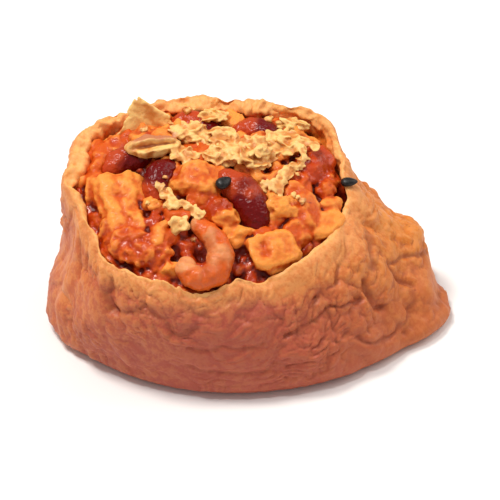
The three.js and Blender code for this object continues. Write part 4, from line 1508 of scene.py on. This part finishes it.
def food_part(kind, piece, boxiness, seed, detail, tint):
    """One piece of a kind of food, with the values that its finish needs."""
    cuts, widths, depth, pleats, grain, red = KINDS[kind]
    points, faces = sauced_lump(piece, boxiness, seed, detail, cuts, (widths, depth, pleats))
    return points, faces, {"tint": tint, "grain": grain, "red": red}


def heap_parts(filler_tries):
    """The top of the sauce, the chunks, the pieces drawn at random and those that fill gaps."""
    draw = make_draw(CHUNK_DRAW)
    slab = bed_rings(SLAB_COLUMNS, SLAB_UNDERSIDE, SLAB) + bed_rings(SLAB_COLUMNS, SLAB_TOP)
    parts = [(closed_points(np.stack(slab)), ring_faces(len(slab), SLAB_COLUMNS), SLAB_SPOTS)]
    for i, piece in enumerate(CHUNKS):
        parts.append(food_part(CHUNK_KINDS[i], piece, CHUNK_BOXINESS[i], i, 5, CHUNK_TINTS[i]))
    for i, (piece, boxiness) in enumerate(scatter_pieces()):
        kind = DRAWN_KINDS[i % len(DRAWN_KINDS)]
        parts.append(food_part(kind, lowered(piece), boxiness, i, 4, draw()))
    tree = heap_tree(BESIDE_CHUNKS, joined(parts)[:2])
    for i, piece in enumerate(gap_fillers(tree, filler_tries)):
        kind = FILLER_KINDS[i % len(FILLER_KINDS)]
        parts.append(food_part(kind, piece, 0.1, 100 + i, 3, draw()))
    return joined(parts)


def build_chunks(looks):
    """The chunks, the dice and the minced pieces, held together by sauce in one closed skin."""
    source, faces, spots = heap_parts(looks.filler_tries)
    near_source = kd_tree(source)
    points, normals, faces = remeshed(source, faces, looks.voxel)
    nearest = np.array([near_source.find(point)[1] for point in points])
    edges = edges_of(faces)
    traits = np.stack([spots[label][nearest] for label in ("tint", "grain", "red")], axis=-1)
    tint, grain, red = evened(traits, edges, 3).T
    points = evened(points, edges, looks.sauce_passes)
    fine = 0.6 * rough(points, 1.8, 41, 2) + 0.8 * rough(points, 0.9, 43, 2)
    points = points + normals * (looks.grain_depth / MM * grain * fine)[:, None]
    close, coarse, broad = (standing_out(points, normals, edges, passes) for passes in EVENING_PASSES)
    ridge = np.clip(0.6 + 1.2 * coarse + 0.25 * close, 0, 1)
    # Painted shade in the clefts between the pieces, measured like occlusion from the broadly evened
    # surface.
    cleft = smooth_step(0.15, 1.1, -broad - 0.4 * coarse)
    spots = {"ridge": ridge, "cleft": cleft, "low": sunk(points), "tint": tint, "red": red}
    piece = make_piece("sauced_pieces", points, faces, spots)
    finish_piece(piece, sauced_finish("sauced_food", looks), ["filling"])


def smooth_line(corners, steps):
    """Points along a smooth curve through the corners."""
    corners = np.array(corners, float)
    padded = np.vstack([2 * corners[0] - corners[1], corners, 2 * corners[-1] - corners[-2]])
    places = np.linspace(0, len(corners) - 1, steps)
    first = np.minimum(places.astype(int), len(corners) - 2)
    part = (places - first)[:, None]
    before, start, end, after = (padded[first + i] for i in range(4))
    straight = (end - before) * part
    bend = (2 * before - 5 * start + 4 * end - after) * part**2
    turn = (3 * start - before - 3 * end + after) * part**3
    return 0.5 * (2 * start + straight + bend + turn)


def curl_part(piece, line, radius, seed):
    """A soft rod along a line that lies on the heap, with rings at its pale end like a prawn's."""
    x, y, *_, lift, _ = piece
    share = np.linspace(0, 1, CURL_STEPS)[:, None]
    around = np.arange(CURL_SIDES)[None, :] / CURL_SIDES * TURN
    spine = smooth_line(line, CURL_STEPS) + (x, y)
    heights = np.pad(heap_top(spine[:, 0], spine[:, 1]), CURL_SETTLING, mode="edge")
    reach = 2 * CURL_SETTLING + 1
    heights = np.convolve(heights, np.ones(reach) / reach, mode="valid") + lift
    spine = np.column_stack([spine, heights + CURL_ARCH * np.sin(math.pi * share[:, 0])])
    along = np.gradient(spine, axis=0)
    along /= np.linalg.norm(along, axis=1, keepdims=True)
    aside = np.cross(along, np.array(heap_normal(x, y)))
    aside /= np.linalg.norm(aside, axis=1, keepdims=True)
    above = np.cross(aside, along)
    from_middle = np.abs(2 * share - 1)
    swell = radius * np.sqrt(np.maximum(0.0, 1 - from_middle**8)) * (1.06 - 0.2 * from_middle)
    swell = np.maximum(swell * (1 + CURL_BANDS[0] * np.sin(CURL_BANDS[1] * share)), 0.02)
    outward = aside[:, None] * np.cos(around)[..., None] + above[:, None] * np.sin(around)[..., None]
    grid = spine[:, None] + outward * swell[..., None]
    relief = 0.24 * rough(grid, 1.4, seed) + 0.35 * noise(grid, 3.4, seed + 2)
    grid = grid + outward * (relief * swell / radius)[..., None]
    pale = np.interp(share, *CURL_TINTS) + 0.35 * noise(grid, 2.4, seed + 4)
    strength, stripes = CURL_STRIPES
    pale = pale + strength * np.sin(stripes * share + 2 * np.cos(around)) * smooth_step(0.3, 0.1, share)
    values = {"ridge": np.clip(0.7 + 2.0 * relief, 0, 1), "tint": np.clip(pale, 0, 1)}
    points, spots = closed_with(grid, values)
    return points, ring_faces(CURL_STEPS, CURL_SIDES), {**spots, "low": 0.7 * sunk(points)}


def build_curls(looks):
    """The smooth pale curls."""
    for i, (piece, (line, radius)) in enumerate(zip(CURLS, CURL_SHAPES)):
        made = make_piece(f"pale_curl_{i + 1}", *curl_part(piece, line, radius, 41 + 10 * i))
        material = smooth_food_finish(f"pale_curl_{i + 1}", looks, looks.curl_low, looks.curl_high)
        finish_piece(made, material, ["filling"])


def build_beans(looks):
    """The kidney beans, each standing for its own solid."""
    material = bean_finish(looks)
    unit, faces = ball(6)
    x, y, z = unit.T
    hollow = BEAN_HOLLOW[1] * bell(x, BEAN_HOLLOW[0]) * np.maximum(0, y)
    shape = np.stack([x, y - BEAN_BEND[0] * x * x + BEAN_BEND[1] - hollow, z], axis=-1)
    for i, bean in enumerate(BEANS):
        turn, half, place = seat(bean)
        local = shape * half
        dents = sum(depth * noise(local, width, first + i) for depth, width, first in BEAN_DENTS)
        points = (local * (1 + dents / half.min())[:, None]) @ turn.T + place
        # Painted light towards the bean's one end.
        lit_end = smooth_step(0.5, -0.6, x + 0.5 * noise(local, 2.6, 70 + i))
        piece = make_piece(f"red_bean_skin_{i + 1}", points, faces, {"lit_end": lit_end})
        finish_piece(piece, material, [f"red_bean_{i + 1}"])


def grain_of_crisp(draw, middle, normal, size):
    """A small flat bit of crisp that lies roughly across the normal."""
    unit, faces = ball(2)
    lean = Vector((draw() - 0.5, draw() - 0.5, draw() - 0.5)) * 1.3
    up = (Vector(normal).normalized() + lean).normalized()
    turn = Vector((0, 0, 1)).rotation_difference(up).to_matrix() @ Matrix.Rotation(TURN * draw(), 3, "Z")
    half = [drawn(draw, *CRISP_BIT_LENGTH), drawn(draw, *CRISP_BIT_WIDTH), CRISP_BIT_THICKNESS]
    half = np.array(half) * size
    return (unit * half) @ np.array(turn).T + middle, faces, {}


def flake_parts(piece, sides, seed, draw):
    """The bits that make up one crisp flake, crowded to its ragged outline."""
    turn, half, place = seat(piece)
    parts = []
    bulk = half[0] * half[1] * max(half[2], 0.7)
    corner = TURN / sides
    outline, rising = FLAKE_WAVES
    for _ in range(int(FLAKE_BITS + FLAKE_DENSITY * bulk)):
        around, reach, level = TURN * draw(), math.sqrt(draw()), 2 * draw() - 1
        ahead, aside = reach * math.cos(around), reach * math.sin(around)
        flat = np.array([[outline * ahead, -outline * aside, FLAKE_STEP * seed]])
        polygon = math.cos(corner / 2) / math.cos(math.atan2(ahead, -aside) % corner - corner / 2)
        size = 0.5 + 0.5 * draw()
        edge = polygon * (1 + 0.35 * float(noise(flat)[0])) - 0.1
        ahead, aside = ahead * edge, aside * edge
        raised = np.array([[rising * ahead, -rising * aside, FLAKE_STEP * seed + 1]])
        lift = 0.8 * float(noise(raised)[0])
        puff = level * (1 - reach**2) ** 0.5 * max(0.0, half[2] - 0.5) / half[2]
        local = np.array([FLAKE_SPREAD * ahead, FLAKE_SPREAD * aside, lift + puff]) * half
        parts.append(grain_of_crisp(draw, local @ turn.T + place, turn[:, 2], size))
    return parts


def strip_parts(strip, tree, draw):
    """The bits of a thin strip of crisp that lies on top of the heap."""
    start, end, width, count = strip
    start, way = np.array(start), np.subtract(end, start)
    aside = np.array([-way[1], way[0]]) / np.hypot(*way)
    parts = []
    for i in range(count):
        x, y = start + way * (i + draw()) / count + aside * width * (draw() - 0.5)
        spot, _ = landing(tree, x, y)
        height = max(heap_top(x, y) + 0.6, spot.z if spot else 0) + 0.3 + 0.4 * draw()
        middle, size = np.array([x, y, height]), 0.45 + 0.25 * draw()
        parts.append(grain_of_crisp(draw, middle, heap_normal(x, y), size))
    return parts


def shard_place(side, rise):
    """A place on the upright shard, at a share of its width and one of its height."""
    x, y = SHARD_FOOT
    width = SHARD_WIDTH * (1 - SHARD_TAPER * rise)
    across = (side - SHARD_TIP) * width + SHARD_LEAN[0] * rise
    bow = SHARD_BOW * math.sin(math.pi * side) * (1 - rise)
    ground = float(heap_top(x, y)) - SHARD_SUNK
    return np.array([x + across, y + bow + SHARD_LEAN[1] * rise, ground + SHARD_HEIGHT * rise])


def shard_part():
    """A thin pointed flap with a ragged edge, which stands on the heap's back left."""
    step = 0.02
    rings = []
    for row in range(SHARD_ROWS):
        depth = math.pi * (row + 0.5) / SHARD_ROWS
        reach, facing = math.sin(depth) ** 0.35, math.cos(depth)
        ring = []
        for column in range(SHARD_COLUMNS):
            turn = column / SHARD_COLUMNS * TURN
            level, upright = math.cos(turn), math.sin(turn)
            square = 1 / max(abs(level), abs(upright)) ** 0.8
            ragged = 1 + 0.1 * math.sin(5 * turn + 1) + 0.07 * math.sin(11 * turn + 2)
            side, rise = (0.5 + 0.5 * way * square * reach * ragged * 0.93 for way in (level, upright))
            middle = shard_place(side, rise)
            sideways, upwards = shard_place(side + step, rise), shard_place(side, rise + step)
            normal = np.cross(sideways - middle, upwards - middle)
            ring.append(middle + normal / np.linalg.norm(normal) * SHARD_THICKNESS / 2 * facing)
        rings.append(ring)
    return closed_points(np.array(rings)), ring_faces(SHARD_ROWS, SHARD_COLUMNS), {}


def pod_part():
    """A folded leaf lying on its side, as a pod with a slit between its lips that faces up and forwards."""
    unit, faces = ball(5)
    x, y, z = unit.T
    apart = np.arctan2(z, y) - POD_SLIT_TURN * DEGREE
    shown = np.clip(1 - (x / 0.9) ** 2, 0, 1) ** 0.5
    slit_width, slit_depth = POD_SLIT
    lip_place, lip_width, lip_height = POD_LIPS
    slit = np.exp(-((apart / slit_width) ** 4)) * shown
    lips = bell(np.abs(apart) - lip_place, lip_width) * shown
    reach = 1 - slit_depth * slit + lip_height * lips
    middle_x, middle_y = POD_MIDDLE
    half_length, half_width, half_height = (size / 2 for size in POD_SIZE)
    local = np.stack([half_length * x, half_width * y * reach, half_height * z * reach], axis=-1)
    local = local * (1 + 0.2 * noise(local, 2.6, 91) + 0.08 * noise(local, 1.2, 92))[:, None]
    across, level = local[:, 0], local[:, 1] + POD_SLANT * local[:, 0]
    ground = heap_top(middle_x + across, middle_y)
    points = np.stack([middle_x + across, middle_y + level, ground + POD_LIFT + local[:, 2]], axis=-1)
    return points, faces, {}


def remeshed(points, faces, voxel):
    """One closed skin round overlapping forms, as points, outward directions and faces."""
    draft = make_piece("draft", points, faces)
    change = draft.modifiers.new("skin", "REMESH")
    change.mode = "VOXEL"
    change.voxel_size = voxel
    depsgraph = bpy.context.evaluated_depsgraph_get()
    mesh = bpy.data.meshes.new_from_object(draft.evaluated_get(depsgraph))
    places = mesh_points(mesh)
    normals = np.empty(places.size, np.float32)
    mesh.vertex_normals.foreach_get("vector", normals)
    polygons = np.array([polygon.vertices[:] for polygon in mesh.polygons])
    bpy.data.meshes.remove(mesh)
    old = draft.data
    bpy.data.objects.remove(draft)
    bpy.data.meshes.remove(old)
    return places, normals.reshape(-1, 3), polygons


def build_crisps(looks):
    """The crisp flakes: one closed skin round many small flat bits."""
    draw = make_draw(CRISP_DRAW)
    parts = [shard_part(), pod_part()]
    for i, (piece, sides) in enumerate(zip(FLAKES, FLAKE_SIDES)):
        if i not in OWN_FORMS:
            parts += flake_parts(piece, sides, i, draw)
    tree = heap_tree(HEAP_PIECES)
    for strip in STRIPS:
        parts += strip_parts(strip, tree, draw)
    points, faces, _ = joined(parts)
    points, normals, faces = remeshed(points, faces, looks.voxel)
    lumps = rough(points, 1.6, 81)
    fine = noise(points, 0.7, 83)
    points = points + normals * (CRISP_LUMPS * lumps + CRISP_GRAIN * fine)[:, None]
    edges = edges_of(faces)
    # Below 0 in hollows, which the finish browns as painted shade.
    out = 0.6 * standing_out(points, normals, edges, 60) + 0.8 * standing_out(points, normals, edges, 12)
    ridge = np.clip(0.6 + 0.25 * lumps + 0.15 * fine + out, 0, 1)
    above = points[:, 2] - heap_top(points[:, 0], points[:, 1])
    tint = np.clip(0.4 + 0.6 * noise(points, 6.0, 85), 0, 1) * smooth_step(5.0, 3.0, above)
    across, along = points[:, 0] - POD_MIDDLE[0], points[:, 1] - POD_MIDDLE[1]
    along = along - POD_SLANT * across - TAN_FROM_MIDDLE
    tan = TAN_SHARE * np.exp(-((across / TAN_LENGTH) ** 4) - (along / TAN_SPREAD) ** 4)
    piece = make_piece("crisp_flakes", points, faces, {"ridge": ridge, "tint": np.maximum(tint, tan)})
    finish_piece(piece, crisp_finish(looks), ["filling"])


def seed_part(turn, half, place):
    """A flat seed that narrows to one end."""
    unit, faces = ball(4)
    taper = 1 - SEED_TAPER * unit[:, :1]
    shape = unit * np.concatenate([np.ones_like(taper), taper, taper], axis=1)
    return (shape * half) @ turn.T + place, faces, {}


def build_seeds(looks):
    """The black sesame seeds on the heap and the one on the rim."""
    parts = [seed_part(*seat(piece)) for piece in SEEDS]
    angle, lift, size = RIM_SEED
    spot = side_point(angle * DEGREE, rim_height(angle * DEGREE))
    parts.append(seed_part(np.eye(3), np.array(size) / 2, spot + (0, 0, lift)))
    points, faces, _ = joined(parts)
    piece = make_piece("sesame_seeds", points, faces)
    finish_piece(piece, seed_finish(looks), ["filling", "tofu_pouch"])


def kd_tree(points):
    """A tree for finding the nearest of the points."""
    tree = KDTree(len(points))
    for i, point in enumerate(points):
        tree.insert(point, i)
    tree.balance()
    return tree


def heap_tree(names, more=((), ())):
    """The pieces' shown surfaces as one tree for finding where things would land."""
    points = [list(point) for point in more[0]]
    faces = [[int(corner) for corner in face] for face in more[1]]
    count = len(points)
    for name in names:
        mesh = bpy.data.objects[name].data
        points.extend(mesh_points(mesh).tolist())
        faces.extend([[corner + count for corner in polygon.vertices] for polygon in mesh.polygons])
        count += len(mesh.vertices)
    return BVHTree.FromPolygons(points, faces)


def landing(tree, x, y):
    """Where something dropped at x and y comes to lie, and which way is up there."""
    spot, normal, _, _ = tree.ray_cast(Vector((x, y, 60)), Vector((0, 0, -1)))
    return spot, normal


def build_bits(looks):
    """Loose small bits of the filling that stick to everything."""
    tree = heap_tree(HEAP_PIECES)
    draw = make_draw(BITS_DRAW)
    parts = []
    unit, faces = ball(3)
    for i in range(looks.bit_count):
        angle, reach = TURN * draw(), math.sqrt(draw())
        width = BIT_WIDTH[0] + BIT_WIDTH[1] * draw() ** 2
        stretch, tint = 1 + 0.8 * draw(), draw()
        x, y = heap_place(angle, reach, BIT_INSET)
        spot, normal = landing(tree, x, y)
        if spot is None or normal.z < LEAST_UPRIGHT or spot.z > heap_top(x, y) - FILLER_GAP:
            continue
        if hollow_depth(x, y) > HOLLOW_KEPT:
            continue
        lie = Vector((0, 0, 1)).rotation_difference(normal).to_matrix()
        turn = np.array(lie @ Matrix.Rotation(TURN * draw(), 3, "Z"))
        shape = lump_points(unit, 0.0, 0.3, i) * (width * stretch, width, width * 0.8)
        points = shape @ turn.T + np.array(spot)
        ridge = np.clip(0.6 + 0.6 * noise(points, 0.7, 99), 0, 1)
        spots = {"ridge": ridge, "cleft": 0, "low": 0.7 * sunk(points), "tint": tint, "red": 1 - tint}
        parts.append((points, faces, spots))
    piece = make_piece("small_bits", *joined(parts))
    finish_piece(piece, sauced_finish("sauced_bits", looks), ["filling"])


def build_crumbs(looks):
    """Loose crumbs of crisp round the flakes."""
    tree = heap_tree(HEAP_PIECES)
    draw = make_draw(CRUMBS_DRAW)
    parts = []
    unit, faces = ball(3)
    for i in range(looks.crumb_count):
        flake = FLAKES[int(len(FLAKES) * draw())]
        reach, angle = drawn(draw, *CRUMB_REACH), TURN * draw()
        width = CRUMB_WIDTH[0] + CRUMB_WIDTH[1] * draw() ** 2
        tint = draw()
        x, y = flake[0] + reach * math.cos(angle), flake[1] + reach * math.sin(angle)
        spot, normal = landing(tree, x, y)
        if spot is None or normal.z < LEAST_UPRIGHT:
            continue
        shape = lump_points(unit, 0.1, 0.45, i) * (width * 1.3, width, width * 0.8)
        turn = np.array(Matrix.Rotation(TURN * draw(), 3, "Z"))
        points = shape @ turn.T + np.array(spot + normal * width * 0.4)
        ridge = np.clip(0.6 + 0.6 * noise(points, 0.6, 133), 0, 1)
        parts.append((points, faces, {"ridge": ridge, "tint": tint}))
    piece = make_piece("crisp_crumbs", *joined(parts))
    finish_piece(piece, crisp_finish(looks), ["filling"])


def aim(thing, place, target, roll=0.0):
    """Puts a camera or a light at a place and points it at a target."""
    thing.location = place
    way = (Vector(target) - Vector(place)).to_track_quat("-Z", "Y").to_matrix()
    thing.rotation_euler = (way @ Matrix.Rotation(roll, 3, "Z")).to_euler()


def add_light(name, place, target, size, power, colour):
    """A round light that points at the target."""
    data = bpy.data.lights.new(name, "AREA")
    data.shape = "DISK"
    data.size = size
    data.energy = power
    data.color = colour
    light = bpy.data.objects.new(name, data)
    bpy.context.scene.collection.objects.link(light)
    aim(light, place, target)


def build_stage(looks):
    """The pale floor, the soft lights and the camera."""
    scene = bpy.context.scene
    corners = [(FLOOR_HALF * x, FLOOR_HALF * y, 0) for x, y in ((-1, -1), (1, -1), (1, 1), (-1, 1))]
    floor = make_piece("floor", corners, [[0, 1, 2, 3]])
    floor.location.z = -FLOOR_BELOW * MM
    floor.data.materials.append(plain_finish("pale_floor", looks.floor))
    target = (0, 0, looks.aim_height)
    powers = (looks.key_power, looks.fill_power, looks.glint_power)
    for (name, place, size, colour), power in zip(LIGHTS, powers):
        add_light(name, place, target, size, power, colour)
    world = bpy.data.worlds.new("studio")
    scene.world = world
    world.use_nodes = True
    background = world.node_tree.nodes["Background"]
    background.inputs["Color"].default_value = (1, 1, 1, 1)
    background.inputs["Strength"].default_value = looks.sky
    scene.view_settings.view_transform = "Standard"
    data = bpy.data.cameras.new("camera")
    data.lens = looks.lens
    data.clip_start = NEAREST_SEEN
    camera = bpy.data.objects.new("camera", data)
    scene.collection.objects.link(camera)
    level = looks.distance * math.cos(looks.elevation)
    place = (0, -level, looks.aim_height + looks.distance * math.sin(looks.elevation))
    aim(camera, place, (AIM_ASIDE * MM, 0, looks.aim_height), looks.roll)
    scene.camera = camera


# ---- Operators and panel ----


class INARI_OT_make_pouch(bpy.types.Operator):
    """Makes the tofu pouch"""

    bl_idname = "inari.make_pouch"
    bl_label = "Make tofu pouch"
    bl_options = {"REGISTER", "UNDO"}

    def execute(self, context):
        build_tofu_skin(context.scene.inari_pouch)
        return {"FINISHED"}


class INARI_OT_make_sauce(bpy.types.Operator):
    """Makes the bed of sauce below the pieces"""

    bl_idname = "inari.make_sauce"
    bl_label = "Make sauce"
    bl_options = {"REGISTER", "UNDO"}

    def execute(self, context):
        build_sauce_bed(context.scene.inari_filling)
        return {"FINISHED"}


class INARI_OT_make_chunks(bpy.types.Operator):
    """Makes the chunks, the dice and the minced pieces"""

    bl_idname = "inari.make_chunks"
    bl_label = "Make chunks"
    bl_options = {"REGISTER", "UNDO"}

    def execute(self, context):
        build_chunks(context.scene.inari_filling)
        return {"FINISHED"}


class INARI_OT_make_curls(bpy.types.Operator):
    """Makes the smooth pale curls"""

    bl_idname = "inari.make_curls"
    bl_label = "Make curls"
    bl_options = {"REGISTER", "UNDO"}

    def execute(self, context):
        build_curls(context.scene.inari_filling)
        return {"FINISHED"}


class INARI_OT_make_beans(bpy.types.Operator):
    """Makes the red beans"""

    bl_idname = "inari.make_beans"
    bl_label = "Make beans"
    bl_options = {"REGISTER", "UNDO"}

    def execute(self, context):
        build_beans(context.scene.inari_beans)
        return {"FINISHED"}


class INARI_OT_make_crisps(bpy.types.Operator):
    """Makes the crisp flakes"""

    bl_idname = "inari.make_crisps"
    bl_label = "Make crisps"
    bl_options = {"REGISTER", "UNDO"}

    def execute(self, context):
        build_crisps(context.scene.inari_toppings)
        return {"FINISHED"}


class INARI_OT_make_seeds(bpy.types.Operator):
    """Makes the sesame seeds"""

    bl_idname = "inari.make_seeds"
    bl_label = "Make seeds"
    bl_options = {"REGISTER", "UNDO"}

    def execute(self, context):
        build_seeds(context.scene.inari_toppings)
        return {"FINISHED"}


class INARI_OT_make_bits(bpy.types.Operator):
    """Makes the loose small bits of filling"""

    bl_idname = "inari.make_bits"
    bl_label = "Make small bits"
    bl_options = {"REGISTER", "UNDO"}

    def execute(self, context):
        build_bits(context.scene.inari_filling)
        return {"FINISHED"}


class INARI_OT_make_crumbs(bpy.types.Operator):
    """Makes the loose crumbs of crisp"""

    bl_idname = "inari.make_crumbs"
    bl_label = "Make crumbs"
    bl_options = {"REGISTER", "UNDO"}

    def execute(self, context):
        build_crumbs(context.scene.inari_toppings)
        return {"FINISHED"}


class INARI_OT_make_stage(bpy.types.Operator):
    """Makes the floor, the lights and the camera"""

    bl_idname = "inari.make_stage"
    bl_label = "Make stage"
    bl_options = {"REGISTER", "UNDO"}

    def execute(self, context):
        build_stage(context.scene.inari_stage)
        return {"FINISHED"}


OPERATORS = [
    INARI_OT_make_pouch,
    INARI_OT_make_sauce,
    INARI_OT_make_chunks,
    INARI_OT_make_curls,
    INARI_OT_make_beans,
    INARI_OT_make_crisps,
    INARI_OT_make_seeds,
    INARI_OT_make_bits,
    INARI_OT_make_crumbs,
    INARI_OT_make_stage,
]


class INARI_PT_panel(bpy.types.Panel):
    """Lists what makes each group of pieces and the stage."""

    bl_idname = "INARI_PT_panel"
    bl_label = "Inari sushi"
    bl_space_type = "VIEW_3D"
    bl_region_type = "UI"
    bl_category = "Inari"

    def draw(self, context):
        for operator in OPERATORS:
            self.layout.operator(operator.bl_idname)


SETTINGS = {
    "inari_pouch": InariPouch,
    "inari_filling": InariFilling,
    "inari_beans": InariBeans,
    "inari_toppings": InariToppings,
    "inari_stage": InariStage,
}


def register():
    """Registers every class and gives the scene its settings."""
    for kind in [*SETTINGS.values(), *OPERATORS, INARI_PT_panel]:
        bpy.utils.register_class(kind)
    for name, kind in SETTINGS.items():
        setattr(bpy.types.Scene, name, PointerProperty(type=kind))


def unregister():
    """Takes the settings and the classes away again."""
    for name in SETTINGS:
        delattr(bpy.types.Scene, name)
    for kind in reversed([*SETTINGS.values(), *OPERATORS, INARI_PT_panel]):
        bpy.utils.unregister_class(kind)


def main():
    """Makes every piece and the stage."""
    register()
    bpy.ops.inari.make_pouch()
    bpy.ops.inari.make_sauce()
    bpy.ops.inari.make_curls()
    bpy.ops.inari.make_beans()
    bpy.ops.inari.make_chunks()
    bpy.ops.inari.make_crisps()
    bpy.ops.inari.make_seeds()
    bpy.ops.inari.make_bits()
    bpy.ops.inari.make_crumbs()
    bpy.ops.inari.make_stage()


if __name__ == "__main__":
    main()
